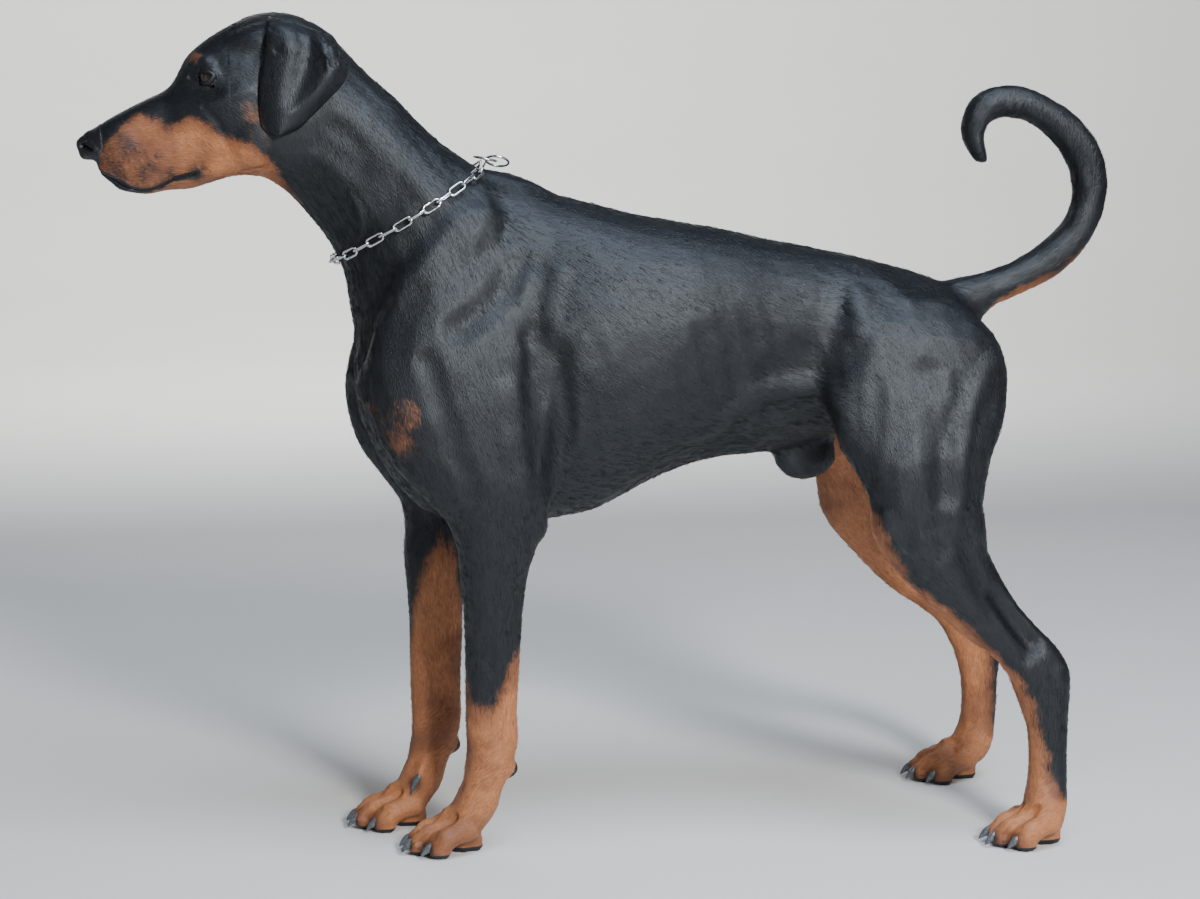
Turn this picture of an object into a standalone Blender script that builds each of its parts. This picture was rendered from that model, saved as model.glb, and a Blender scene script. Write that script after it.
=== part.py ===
"""A male doberman pinscher, standing at rest, life size.

Metres, +Z up. The dog looks along -X and its left side is at -Y. It stands on the plane z = 0.
Rows of the shape lists hold two edge points of a cross-section, (x, z) each, and how wide it is.
"""

import math

import bmesh
import bpy
import numpy as np
from mathutils import Matrix, Vector
from mathutils.bvhtree import BVHTree

# Where the middle of the whole dog's box stands, so that the origin is under it
CENTRE_X = 0.025
CENTRE_Y = 0.011

GAP = 0.0003
SLIVER = 0.00006
BODY_VOXEL = 0.0024
HEAD_VOXEL = 0.0014
SIDES = {"left": -1, "right": 1}

# Stance: how far the right legs stand ahead of the left ones, and the tracks of the feet
FORE_STRIDE = -0.050
FORE_TRACK = 0.053
HIND_TRACK = {"left": 0.123, "right": 0.145}

# Each row: front or upper edge (x, z), rear or lower edge (x, z), y, half width, squareness, skew
MUZZLE_AND_SKULL = [
    (-0.5185, 0.7610, -0.5125, 0.7350, 0, 0.0150, 2.4, 0.00),
    (-0.5120, 0.7680, -0.5010, 0.7215, 0, 0.0222, 2.5, -0.04),
    (-0.5000, 0.7770, -0.4850, 0.7125, 0, 0.0275, 2.6, -0.10),
    (-0.4790, 0.7885, -0.4630, 0.7055, 0, 0.0308, 2.6, -0.15),
    (-0.4550, 0.8005, -0.4370, 0.7090, 0, 0.0334, 2.6, -0.15),
    (-0.4380, 0.8090, -0.4140, 0.7140, 0, 0.0360, 2.5, -0.12),
    (-0.4285, 0.8240, -0.3980, 0.7165, 0, 0.0395, 2.4, -0.08),
    (-0.4185, 0.8425, -0.3780, 0.7190, 0, 0.0450, 2.4, -0.10),
    (-0.3990, 0.8595, -0.3540, 0.7200, 0, 0.0515, 2.4, -0.12),
    (-0.3700, 0.8765, -0.3280, 0.7150, 0, 0.0540, 2.4, -0.15),
    (-0.3350, 0.8870, -0.3000, 0.7080, 0, 0.0525, 2.4, -0.15),
    (-0.3000, 0.8830, -0.2740, 0.7060, 0, 0.0490, 2.2, -0.10),
    (-0.2740, 0.8660, -0.2550, 0.7200, 0, 0.0410, 2.0, 0.00),
]
LOWER_JAW = [
    (-0.5060, 0.7260, -0.5030, 0.7175, 0, 0.0085, 2.0, 0.00),
    (-0.4990, 0.7270, -0.4930, 0.7095, 0, 0.0160, 2.2, 0.05),
    (-0.4840, 0.7260, -0.4790, 0.7030, 0, 0.0200, 2.2, 0.05),
    (-0.4640, 0.7250, -0.4600, 0.7000, 0, 0.0232, 2.2, 0.05),
    (-0.4420, 0.7260, -0.4400, 0.7040, 0, 0.0262, 2.2, 0.05),
    (-0.4180, 0.7300, -0.4160, 0.7055, 0, 0.0310, 2.2, 0.05),
    (-0.3950, 0.7400, -0.3930, 0.7125, 0, 0.0370, 2.2, 0.10),
    (-0.3700, 0.7600, -0.3680, 0.7190, 0, 0.0430, 2.2, 0.10),
    (-0.3400, 0.7800, -0.3400, 0.7180, 0, 0.0420, 2.0, 0.10),
]
NECK = [
    (-0.3120, 0.8780, -0.3560, 0.7220, 0, 0.0440, 2.1, 0.00),
    (-0.2830, 0.8750, -0.3360, 0.7150, 0, 0.0485, 2.1, 0.00),
    (-0.2530, 0.8470, -0.3160, 0.7000, 0, 0.0510, 2.1, 0.00),
    (-0.2300, 0.8230, -0.3000, 0.6840, 0, 0.0530, 2.1, 0.00),
    (-0.2010, 0.7980, -0.2850, 0.6650, 0, 0.0565, 2.1, 0.04),
    (-0.1780, 0.7730, -0.2720, 0.6470, 0, 0.0610, 2.1, 0.04),
    (-0.1510, 0.7490, -0.2630, 0.6300, 0, 0.0670, 2.1, 0.02),
    (-0.1200, 0.7280, -0.2565, 0.6050, 0, 0.0740, 2.1, 0.00),
    (-0.0880, 0.7120, -0.2510, 0.5700, 0, 0.0800, 2.1, 0.00),
    (-0.0500, 0.6700, -0.2350, 0.5200, 0, 0.0750, 2.0, 0.00),
]
TRUNK = [
    (-0.2485, 0.5650, -0.2470, 0.4700, 0, 0.0260, 2.0, 0.00),
    (-0.2380, 0.6150, -0.2350, 0.4420, 0, 0.0560, 2.1, 0.00),
    (-0.2150, 0.6600, -0.2150, 0.4030, 0, 0.0740, 2.2, -0.05),
    (-0.1800, 0.6950, -0.1800, 0.3640, 0, 0.0850, 2.2, -0.10),
    (-0.1300, 0.7180, -0.1300, 0.3470, 0, 0.0930, 2.1, -0.10),
    (-0.0900, 0.7190, -0.0900, 0.3450, 0, 0.0970, 2.1, -0.08),
    (-0.0470, 0.7020, -0.0470, 0.3500, 0, 0.1010, 2.2, -0.05),
    (0.0000, 0.6890, 0.0000, 0.3585, 0, 0.1060, 2.3, 0.00),
    (0.0420, 0.6780, 0.0420, 0.3790, 0, 0.1085, 2.3, 0.00),
    (0.0870, 0.6695, 0.0870, 0.4000, 0, 0.1060, 2.3, 0.05),
    (0.1420, 0.6600, 0.1420, 0.4135, 0, 0.0950, 2.3, 0.08),
    (0.1920, 0.6490, 0.1920, 0.4170, 0, 0.0860, 2.3, 0.06),
    (0.2420, 0.6390, 0.2420, 0.4280, 0, 0.0810, 2.2, 0.05),
    (0.2920, 0.6290, 0.2920, 0.4450, 0, 0.0800, 2.2, 0.05),
    (0.3380, 0.6165, 0.3380, 0.4620, 0, 0.0780, 2.2, 0.00),
    (0.3800, 0.6040, 0.3830, 0.4800, 0, 0.0620, 2.1, 0.00),
    (0.4100, 0.5860, 0.4160, 0.4980, 0, 0.0440, 2.0, 0.00),
    (0.4300, 0.5650, 0.4390, 0.5200, 0, 0.0200, 2.0, 0.00),
]
FORELEG = [
    (-0.2050, 0.6350, -0.0950, 0.6350, 0.062, 0.0260, 2.0, 0.00),
    (-0.2330, 0.5700, -0.0700, 0.5750, 0.072, 0.0340, 2.1, 0.00),
    (-0.2440, 0.5150, -0.0540, 0.5150, 0.079, 0.0370, 2.2, 0.00),
    (-0.2390, 0.4700, -0.0470, 0.4600, 0.083, 0.0380, 2.2, 0.00),
    (-0.2150, 0.4200, -0.0470, 0.4150, 0.085, 0.0380, 2.2, 0.00),
    (-0.1830, 0.3850, -0.0510, 0.3820, 0.085, 0.0360, 2.2, 0.00),
    (-0.1600, 0.3600, -0.0590, 0.3600, 0.083, 0.0325, 2.2, 0.10),
    (-0.1510, 0.3350, -0.0640, 0.3370, 0.080, 0.0300, 2.2, 0.15),
    (-0.1470, 0.3050, -0.0730, 0.3070, 0.075, 0.0270, 2.2, 0.15),
    (-0.1430, 0.2650, -0.0790, 0.2650, 0.070, 0.0240, 2.2, 0.12),
    (-0.1410, 0.2250, -0.0810, 0.2250, 0.065, 0.0215, 2.2, 0.08),
    (-0.1410, 0.1850, -0.0830, 0.1850, 0.061, 0.0198, 2.3, 0.05),
    (-0.1405, 0.1500, -0.0840, 0.1500, 0.058, 0.0193, 2.4, 0.05),
    (-0.1390, 0.1200, -0.0835, 0.1180, 0.056, 0.0205, 2.5, 0.05),
    (-0.1400, 0.0970, -0.0900, 0.0930, 0.055, 0.0208, 2.4, 0.00),
    (-0.1440, 0.0750, -0.1000, 0.0680, 0.054, 0.0205, 2.4, 0.00),
    (-0.1520, 0.0560, -0.1060, 0.0460, 0.053, 0.0235, 2.4, 0.00),
    (-0.1600, 0.0390, -0.1180, 0.0280, 0.053, 0.0240, 2.3, 0.00),
    (-0.1600, 0.0220, -0.1280, 0.0150, 0.053, 0.0200, 2.0, 0.00),
]
HIND_LEG = [
    (0.2550, 0.6000, 0.3900, 0.5860, 0.056, 0.0180, 2.0, 0.00),
    (0.2400, 0.5600, 0.4310, 0.5500, 0.068, 0.0340, 2.1, 0.00),
    (0.2360, 0.5200, 0.4440, 0.5150, 0.074, 0.0380, 2.2, 0.00),
    (0.2400, 0.4850, 0.4430, 0.4850, 0.081, 0.0400, 2.2, 0.00),
    (0.2500, 0.4500, 0.4360, 0.4550, 0.089, 0.0390, 2.2, 0.00),
    (0.2640, 0.4180, 0.4220, 0.4250, 0.100, 0.0380, 2.2, 0.00),
    (0.2800, 0.3880, 0.4130, 0.3930, 0.106, 0.0345, 2.2, 0.05),
    (0.2880, 0.3580, 0.4085, 0.3600, 0.110, 0.0310, 2.2, 0.10),
    (0.2970, 0.3230, 0.4100, 0.3340, 0.112, 0.0275, 2.2, 0.15),
    (0.3250, 0.2890, 0.4190, 0.3140, 0.113, 0.0240, 2.2, 0.25),
    (0.3560, 0.2580, 0.4310, 0.2910, 0.114, 0.0205, 2.2, 0.35),
    (0.3880, 0.2300, 0.4470, 0.2650, 0.115, 0.0175, 2.2, 0.40),
    (0.4140, 0.2120, 0.4690, 0.2400, 0.116, 0.0160, 2.2, 0.35),
    (0.4330, 0.1940, 0.4945, 0.2130, 0.117, 0.0160, 2.3, 0.15),
    (0.4430, 0.1730, 0.5065, 0.1900, 0.118, 0.0165, 2.4, 0.05),
    (0.4520, 0.1500, 0.5065, 0.1560, 0.119, 0.0160, 2.4, 0.00),
    (0.4605, 0.1230, 0.5055, 0.1240, 0.120, 0.0155, 2.4, 0.00),
    (0.4625, 0.0930, 0.5045, 0.0920, 0.121, 0.0160, 2.4, 0.00),
    (0.4615, 0.0680, 0.5050, 0.0620, 0.122, 0.0185, 2.4, 0.00),
    (0.4580, 0.0480, 0.5045, 0.0400, 0.123, 0.0225, 2.4, 0.00),
    (0.4580, 0.0330, 0.5000, 0.0240, 0.123, 0.0220, 2.2, 0.00),
    (0.4600, 0.0220, 0.4900, 0.0140, 0.123, 0.0180, 2.0, 0.00),
]
TAIL = [
    (0.3700, 0.5950, 0.4050, 0.5450, 0, 0.0260, 2.0, 0.00),
    (0.4050, 0.6040, 0.4350, 0.5560, 0, 0.0240, 2.0, 0.00),
    (0.4400, 0.6110, 0.4490, 0.5700, 0, 0.0195, 2.0, 0.00),
    (0.4760, 0.6230, 0.4860, 0.5870, 0, 0.0180, 2.0, 0.00),
    (0.5100, 0.6460, 0.5300, 0.6100, 0, 0.0185, 2.0, 0.00),
    (0.5310, 0.6700, 0.5610, 0.6470, 0, 0.0185, 2.0, 0.00),
    (0.5375, 0.7000, 0.5765, 0.6950, 0, 0.0185, 2.0, 0.00),
    (0.5300, 0.7280, 0.5710, 0.7320, 0, 0.0190, 2.0, 0.00),
    (0.5060, 0.7570, 0.5450, 0.7730, 0, 0.0190, 2.0, 0.00),
    (0.4790, 0.7740, 0.5040, 0.8010, 0, 0.0185, 2.0, 0.00),
    (0.4560, 0.7770, 0.4650, 0.8130, 0, 0.0180, 2.0, 0.00),
    (0.4400, 0.7700, 0.4280, 0.8050, 0, 0.0175, 2.0, 0.00),
    (0.4355, 0.7570, 0.4110, 0.7850, 0, 0.0170, 2.0, 0.00),
    (0.4380, 0.7450, 0.4080, 0.7620, 0, 0.0160, 2.0, 0.00),
    (0.4420, 0.7340, 0.4135, 0.7440, 0, 0.0140, 2.0, 0.00),
    (0.4435, 0.7220, 0.4250, 0.7270, 0, 0.0090, 2.0, 0.00),
]

# How far a right leg's rows move along x, by height: (z, shift)
FORE_SHIFT = [(0.0, FORE_STRIDE), (0.30, FORE_STRIDE * 0.94), (0.45, FORE_STRIDE * 0.4), (0.56, 0.0)]
HIND_SHIFT = [
    (0.0, -0.0130), (0.035, -0.0010), (0.08, 0.0045), (0.12, 0.0025),
    (0.16, 0.0040), (0.22, -0.0060), (0.36, -0.0060), (0.45, 0.0),
]

# Muscle and bone under the skin: middle (x, y, z), half sizes along, across and through, and direction
BODY_MASSES = [
    ("shoulder blade", (-0.160, 0.069, 0.612), (0.096, 0.046, 0.022), (-0.56, 0.10, -0.83)),
    ("point of shoulder", (-0.222, 0.066, 0.508), (0.036, 0.030, 0.026), (-0.7, 0.0, -0.7)),
    ("breast", (-0.220, 0.030, 0.488), (0.060, 0.026, 0.022), (0.25, 0.05, -1.0)),
    ("long head of triceps", (-0.093, 0.086, 0.470), (0.090, 0.036, 0.026), (0.25, 0.08, -1.0)),
    ("elbow", (-0.072, 0.087, 0.362), (0.022, 0.015, 0.018), (0.2, 0.0, -1.0)),
    ("rib barrel", (0.020, 0.052, 0.530), (0.150, 0.120, 0.058), (1.0, 0.0, 0.10)),
    ("hip", (0.300, 0.046, 0.576), (0.085, 0.036, 0.026), (1.0, 0.0, -0.25)),
    ("thigh front", (0.295, 0.078, 0.475), (0.105, 0.048, 0.030), (0.22, 0.25, -1.0)),
    ("thigh rear", (0.390, 0.072, 0.482), (0.092, 0.044, 0.032), (-0.1, 0.20, -1.0)),
    ("sitting bone", (0.412, 0.034, 0.530), (0.030, 0.022, 0.022), (0.0, 0.3, 1.0)),
    ("knee", (0.305, 0.112, 0.350), (0.030, 0.020, 0.022), (0.25, 0.0, -1.0)),
    ("calf", (0.385, 0.112, 0.352), (0.062, 0.026, 0.022), (0.20, 0.05, -1.0)),
    ("withers", (-0.090, 0.012, 0.700), (0.060, 0.022, 0.018), (1.0, 0.0, -0.25)),
]
HEAD_MASSES = [
    ("cheek muscle", (-0.352, 0.038, 0.763), (0.036, 0.032, 0.019), (0.35, 0.1, 1.0)),
    ("cheek bone", (-0.378, 0.043, 0.800), (0.034, 0.011, 0.010), (1.0, 0.25, 0.32)),
    ("temple", (-0.350, 0.020, 0.852), (0.046, 0.022, 0.024), (1.0, 0.1, 0.35)),
    ("ear root", (-0.302, 0.037, 0.853), (0.034, 0.012, 0.017), (1.0, 0.0, -0.42)),
    ("brow", (-0.4060, 0.0260, 0.8315), (0.021, 0.0105, 0.0075), (0.55, 0.6, 0.30)),
    ("upper lip", (-0.4640, 0.0165, 0.7160), (0.032, 0.0135, 0.0105), (1.0, 0.18, 0.10)),
    ("lip cushion", (-0.4965, 0.0120, 0.7290), (0.0140, 0.0110, 0.0120), (1.0, 0.3, 0.2)),
    ("wing of the nose", (-0.5115, 0.0112, 0.7475), (0.0108, 0.0085, 0.0092), (1.0, 0.25, 0.3)),
]
NOSE_PAD = ((-0.5130, 0.0, 0.7525), (0.0140, 0.0150, 0.0142), (1, 0, 0.35))
SHEATH = [
    (0.2050, 0.4200, 0.2030, 0.4090, 0, 0.0080, 2.0, 0.00),
    (0.2140, 0.4260, 0.2110, 0.3940, 0, 0.0125, 2.0, 0.00),
    (0.2280, 0.4320, 0.2260, 0.3840, 0, 0.0150, 2.0, 0.00),
    (0.2450, 0.4360, 0.2450, 0.3830, 0, 0.0155, 2.0, 0.00),
    (0.2600, 0.4420, 0.2640, 0.3900, 0, 0.0140, 2.0, 0.00),
    (0.2700, 0.4480, 0.2780, 0.4030, 0, 0.0090, 2.0, 0.00),
]

# Eyes
EYE = (-0.3925, 0.0360, 0.8200)
EYE_RADIUS = 0.0120
LID = 0.0018
GAZE = (-0.76, 0.64, 0.04)
LID_OPENING = (0.0098, 0.0066)
LID_REACH = (0.004, 0.024)
LID_FLARE = 14.0
LID_FLARE_START = 0.010
LID_POINT = 0.35
LID_CORNERS = 20

# Grooves and hollows pressed into the skin: rough path (x, y, z), radius, depth, on both sides or not
HEAD_PRESSES = {
    "furrow of the forehead": (
        [(-0.4320, 0, 0.8200), (-0.4100, 0, 0.8550), (-0.3700, 0, 0.8800)],
        0.014, 0.0022, False,
    ),
    "hollow under the eye": (
        [(-0.4260, 0.033, 0.8080), (-0.4080, 0.042, 0.8050), (-0.3900, 0.048, 0.8060)],
        0.011, 0.0028, True,
    ),
    "inner corner of the eye": ([(-0.4120, 0.030, 0.8200), (-0.4040, 0.036, 0.8160)], 0.008, 0.0024, True),
    "flat of the muzzle": ([(-0.4650, 0.029, 0.7620), (-0.4400, 0.034, 0.7780)], 0.018, 0.0020, True),
    "rim of the nose": (
        [(-0.5020, 0.010, 0.7745), (-0.5020, 0.0190, 0.7620), (-0.5030, 0.0205, 0.7460)],
        0.0034, 0.0014, True,
    ),
    "nostril": (
        [(-0.5255, 0.0075, 0.7505), (-0.5215, 0.0135, 0.7495), (-0.5150, 0.0190, 0.7470)],
        0.0034, 0.0034, True,
    ),
    "nostril mouth": ([(-0.5245, 0.0090, 0.7500)], 0.0046, 0.0050, True),
    "groove under the nose": (
        [(-0.5280, 0, 0.7500), (-0.5190, 0, 0.7360), (-0.5120, 0, 0.7290)],
        0.0030, 0.0022, False,
    ),
    "temple": ([(-0.3700, 0.048, 0.8500), (-0.3500, 0.050, 0.8450)], 0.016, 0.0016, True),
}
MOUTH = [
    (-0.5140, 0.0000, 0.7290),
    (-0.5085, 0.0120, 0.7245),
    (-0.4970, 0.0200, 0.7150),
    (-0.4810, 0.0240, 0.7080),
    (-0.4640, 0.0260, 0.7030),
    (-0.4480, 0.0285, 0.7080),
    (-0.4300, 0.0320, 0.7185),
    (-0.4110, 0.0360, 0.7230),
]
MOUTH_RADIUS = 0.0034
MOUTH_DEPTH = 0.0030
BODY_PRESSES = {
    "before the shoulder blade": (
        [(-0.2050, 0.080, 0.5400), (-0.1900, 0.080, 0.6000)],
        0.020, 0.0020, True,
    ),
    "behind the shoulder blade": (
        [(-0.1500, 0.098, 0.5650), (-0.1150, 0.098, 0.5900), (-0.0850, 0.090, 0.6300)],
        0.024, 0.0045, True,
    ),
    "behind the upper arm": (
        [(-0.0480, 0.105, 0.5400), (-0.0400, 0.105, 0.4600), (-0.0460, 0.100, 0.4000)],
        0.020, 0.0045, True,
    ),
    "between the thigh muscles": (
        [(0.3450, 0.115, 0.5100), (0.3520, 0.130, 0.4500), (0.3580, 0.138, 0.3900)],
        0.026, 0.0036, True,
    ),
}

# The hollow on each side of the hock, in front of the heel's tendon
HOLLOW_BEFORE_TENDON = [(0.4160, 0.2780), (0.4400, 0.2480), (0.4660, 0.2180)]
TENDON_HOLLOW_RADIUS = 0.013
TENDON_HOLLOW_DEPTH = 0.0045
SHANK_MIDDLE = -0.008
SHANK_HALF_WIDTH = 0.015
# Where smoothing falls off: axis, where it is least and where it is full, and its least share
SMOOTHING_EDGES = {
    "head": ("x", -0.3275, -0.2900, 0.25),
    "legs": ("z", 0.3000, 0.4200, 0.20),
    "feet": ("z", 0.0500, 0.1000, 0.15),
    "tail": ("x", 0.4820, 0.4400, 0.30),
}
HEAD_SOFTENING = 30
BODY_SOFTENING = 40
LAST_SOFTENING = (2, 0.6)

# Feet: toe joints as (forward, up, radius), and how the four toes stand
TOE = [(-0.006, 0.027, 0.0140), (0.016, 0.0258, 0.0134), (0.034, 0.0205, 0.0128), (0.0505, 0.0112, 0.0100)]
TOES = [(-0.0270, -0.0170, 0.95), (-0.0098, 0.0, 1.0), (0.0098, 0.0, 1.0), (0.0270, -0.0170, 0.95)]
TOE_PAD = ((-0.006, 0.0, 0.0075), (0.0115, 0.0092, 0.0085), (1, 0, 0))
HEEL_PAD = ((0.003, 0.0, 0.0095), (0.0200, 0.0200, 0.0110), (1, 0, 0))
INSTEP = ((-0.008, 0.0, 0.026), (0.022, 0.0250, 0.0130), (1, 0, 0.3))
CARPAL_PAD = ((0.0515, 0.002, 0.089), (0.0100, 0.0095, 0.0115), (0.3, 0, 1))
FORE_PAW_X = -0.1440
HIND_PAW_X = 0.4780
CLAW_LENGTH = 0.0150
CLAW_RADIUS = 0.0042
DEWCLAW = (-0.130, -0.0215, 0.060)
DEWCLAW_TOE = ((0.0, 0.0, 0.006), (0.013, 0.0065, 0.0065), (-0.3, 0, -1))
DEWCLAW_ROOT = (-0.004, -0.001, -0.001)
DEWCLAW_WAY = (-0.55, 0, -0.8)
CLAW_ROOT = (-0.0045, 0.0, 0.0025)
CLAW_FAN = 0.12
CLAW_DIP = -0.22
CLAW_DROP = 0.30
CLAW_OVAL = 0.72
CLAW_SECTIONS = ((-0.3, 0.85), (0.2, 1.0), (0.6, 0.76), (0.92, 0.36), (1.0, 0.12))
CLAW_SIDES = 6

# Ears: each row is front edge (x, y, z) and rear edge (x, y, z), from the root over the fold to the tip
EAR = [
    ((-0.3315, 0.0240, 0.8850), (-0.2710, 0.0240, 0.8690)),
    ((-0.3340, 0.0370, 0.8780), (-0.2660, 0.0370, 0.8580)),
    ((-0.3360, 0.0450, 0.8770), (-0.2580, 0.0465, 0.8530)),
    ((-0.3365, 0.0505, 0.8660), (-0.2520, 0.0545, 0.8380)),
    ((-0.3385, 0.0530, 0.8470), (-0.2530, 0.0585, 0.8250)),
    ((-0.3430, 0.0545, 0.8240), (-0.2670, 0.0600, 0.8110)),
    ((-0.3452, 0.0560, 0.8010), (-0.2800, 0.0600, 0.7950)),
    ((-0.3445, 0.0565, 0.7830), (-0.2950, 0.0595, 0.7800)),
    ((-0.3400, 0.0570, 0.7690), (-0.3080, 0.0590, 0.7690)),
    ((-0.3330, 0.0570, 0.7625), (-0.3200, 0.0580, 0.7635)),
]
EAR_CAMBER = 0.0085
EAR_THICKNESS = 0.0038
EAR_CLEARANCE = 0.0009
EAR_STEPS = 6

# Collar: a chain of long links round the foot of the neck, and its two rings
COLLAR_FRONT = (-0.2630, 0.6340)
COLLAR_BACK = (-0.0950, 0.7340)
LINK_LENGTH = 0.0225
LINK_WIDTH = 0.0106
WIRE = 0.0026
LINKS_IN_ARC = 4
RING_DIAMETER = 0.0270
COLLAR_STAND_OFF = LINK_WIDTH / 2 + 0.0009
RING_LIFT = 0.0045
RING_SPREAD = 0.013
RING_LEAN = (0.40, 0.92)
LINK_PLAY = 0.0003
ARC_OVERLAP = 0.0011
RING_PLAY = 0.0006
ROUTE_POINTS = 120
ROUTE_ROUNDS = 8
LINK_STEP = 0.004

# Where the body is parted: two points (x, z) of each cut
HEAD_CUT = ((-0.2440, 0.8420), (-0.3240, 0.7060))
NECK_CUT = ((-0.0780, 0.7160), (-0.2570, 0.6060))
TAIL_CUTS = [
    ((0.4180, 0.6120), (0.4420, 0.5500)),
    ((0.5150, 0.6600), (0.5420, 0.6170)),
    ((0.5150, 0.7420), (0.5660, 0.7590)),
    ((0.4530, 0.7700), (0.4480, 0.8180)),
]
TAIL_MIDDLES = [(0.490, 0.610), (0.555, 0.700), (0.500, 0.785), (0.430, 0.760)]
TAIL_FRONT_X = 0.398
UPPER_TAIL_Z = 0.700
TAIL_TIP_Z = 0.660
HEAD_MIDDLE = (-0.45, 0.80)
NECK_MIDDLE = (-0.30, 0.80)
ARM_MIDDLE = (-0.15, 0.40)
ARM_INNER_Y = 0.058
ARM_TOP = ((-0.300, 0.585), (-0.050, 0.505))
ARM_REAR = ((-0.038, 0.550), (-0.046, 0.340))
FORE_END_X = 0.05
HIND_START_X = 0.18
THIGH_MIDDLE = (0.35, 0.50)
THIGH_INNER_Y = 0.030
THIGH_LEAN = -0.12
THIGH_LEAN_Z = 0.40
THIGH_FRONT = ((0.225, 0.560), (0.262, 0.400))
THIGH_TOP = ((0.225, 0.575), (0.445, 0.556))
SHANK_PLACE = (0.42, 0.30)
ELBOW_Z = 0.3400
WRIST_Z = 0.1050
TAIL_UNDERSIDE = ((0.4250, 0.5560), (0.4800, 0.5800))
HOCK_CUT = ((0.4380, 0.1560), (0.5300, 0.1760))
KNEE_CUT = ((0.2700, 0.3180), (0.4300, 0.3480))

# Faces left on the whole body where it is cut into coarse and middling nodes, and on the head and neck
DETAIL = {"coarse": 5250, "middling": 7700, "fine": 3400}

COLOURS = {
    "coat_black": ((0.012, 0.012, 0.014), 0.42, 0.0),
    "coat_tan": ((0.40, 0.16, 0.06), 0.55, 0.0),
    "claw": ((0.06, 0.07, 0.085), 0.35, 0.0),
    "eye": ((0.03, 0.014, 0.008), 0.05, 0.0),
    "chain_steel": ((0.62, 0.63, 0.65), 0.22, 1.0),
}


# Scene

def clear_scene():
    for obj in list(bpy.data.objects):
        bpy.data.objects.remove(obj)


def new_collection(name):
    made = bpy.data.collections.new(name)
    bpy.context.scene.collection.children.link(made)
    return made


def make_materials():
    made = {}
    for name, (colour, roughness, metallic) in COLOURS.items():
        material = bpy.data.materials.new(name)
        material.use_nodes = True
        shader = material.node_tree.nodes["Principled BSDF"]
        shader.inputs["Base Color"].default_value = (*colour, 1.0)
        shader.inputs["Roughness"].default_value = roughness
        shader.inputs["Metallic"].default_value = metallic
        made[name] = material
    return made


def object_from(name, bm, collection):
    mesh = bpy.data.meshes.new(name)
    bmesh.ops.recalc_face_normals(bm, faces=bm.faces)
    bm.to_mesh(mesh)
    bm.free()
    obj = bpy.data.objects.new(name, mesh)
    collection.objects.link(obj)
    return obj


def copy_of(obj, name, collection):
    made = bpy.data.objects.new(name, obj.data.copy())
    collection.objects.link(made)
    return made


def apply_modifiers(obj):
    graph = bpy.context.evaluated_depsgraph_get()
    mesh = bpy.data.meshes.new_from_object(obj.evaluated_get(graph))
    old = obj.data
    obj.modifiers.clear()
    obj.data = mesh
    bpy.data.meshes.remove(old)


def boolean(obj, other, operation):
    modifier = obj.modifiers.new(operation.lower(), "BOOLEAN")
    modifier.operation = operation
    modifier.solver = "MANIFOLD"
    modifier.object = other
    apply_modifiers(obj)


def keep_largest(obj):
    """Leaves only the largest closed surface, without scraps and without slivers."""
    bm = bmesh.new()
    bm.from_mesh(obj.data)
    unseen = set(bm.verts)
    bodies = []
    while unseen:
        body = {unseen.pop()}
        front = list(body)
        while front:
            for edge in front.pop().link_edges:
                for vert in edge.verts:
                    if vert in unseen:
                        unseen.remove(vert)
                        body.add(vert)
                        front.append(vert)
        bodies.append(body)
    bodies.sort(key=len)
    for body in bodies[:-1]:
        bmesh.ops.delete(bm, geom=list(body), context="VERTS")
    bmesh.ops.triangulate(bm, faces=bm.faces)
    bmesh.ops.dissolve_degenerate(bm, edges=bm.edges, dist=SLIVER)
    bmesh.ops.triangulate(bm, faces=bm.faces)
    bm.to_mesh(obj.data)
    bm.free()


def decimate(obj, triangles):
    obj.data.calc_loop_triangles()
    modifier = obj.modifiers.new("fewer faces", "DECIMATE")
    modifier.ratio = min(1.0, triangles / len(obj.data.loop_triangles))
    apply_modifiers(obj)


# Curves and lofts

def smooth_rows(rows, steps):
    """The rows with steps - 1 rows more between each two, on one smooth curve through them all."""
    rows = np.array(rows, float)
    spans = np.linalg.norm(np.diff(rows[:, :4], axis=0), axis=1)
    at = np.concatenate([[0.0], np.cumsum(spans)])
    slopes = np.gradient(rows, at, axis=0)
    found = []
    for i, span in enumerate(spans):
        for t in np.arange(steps) / steps:
            first = (2 * t**3 - 3 * t**2 + 1) * rows[i] + (t**3 - 2 * t**2 + t) * span * slopes[i]
            second = (3 * t**2 - 2 * t**3) * rows[i + 1] + (t**3 - t**2) * span * slopes[i + 1]
            found.append(first + second)
    found.append(rows[-1])
    return np.array(found)


def smooth_path(points, steps):
    """Points on one smooth curve through these points."""
    wide = [(*p, 0.0) for p in points]
    return smooth_rows(wide, steps)[:, :3]


def section(row, corners):
    front_x, front_z, rear_x, rear_z, y, width, power, skew = row
    turn = np.linspace(0, 2 * math.pi, corners, endpoint=False)
    along = np.sign(np.cos(turn)) * np.abs(np.cos(turn)) ** (2 / power)
    across = np.sign(np.sin(turn)) * np.abs(np.sin(turn)) ** (2 / power)
    x = (front_x + rear_x) / 2 + (front_x - rear_x) / 2 * along
    z = (front_z + rear_z) / 2 + (front_z - rear_z) / 2 * along
    return np.stack([x, y + width * across * (1 + skew * along), z], axis=1)


def add_loft(bm, rings):
    loops = [[bm.verts.new(point) for point in ring] for ring in rings]
    for first, second in zip(loops, loops[1:]):
        for i in range(len(first)):
            bm.faces.new((first[i - 1], first[i], second[i], second[i - 1]))
    bm.faces.new(loops[0])
    bm.faces.new(list(reversed(loops[-1])))


def add_form(bm, rows, steps=5, corners=32):
    add_loft(bm, [section(row, corners) for row in smooth_rows(rows, steps)])


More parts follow.
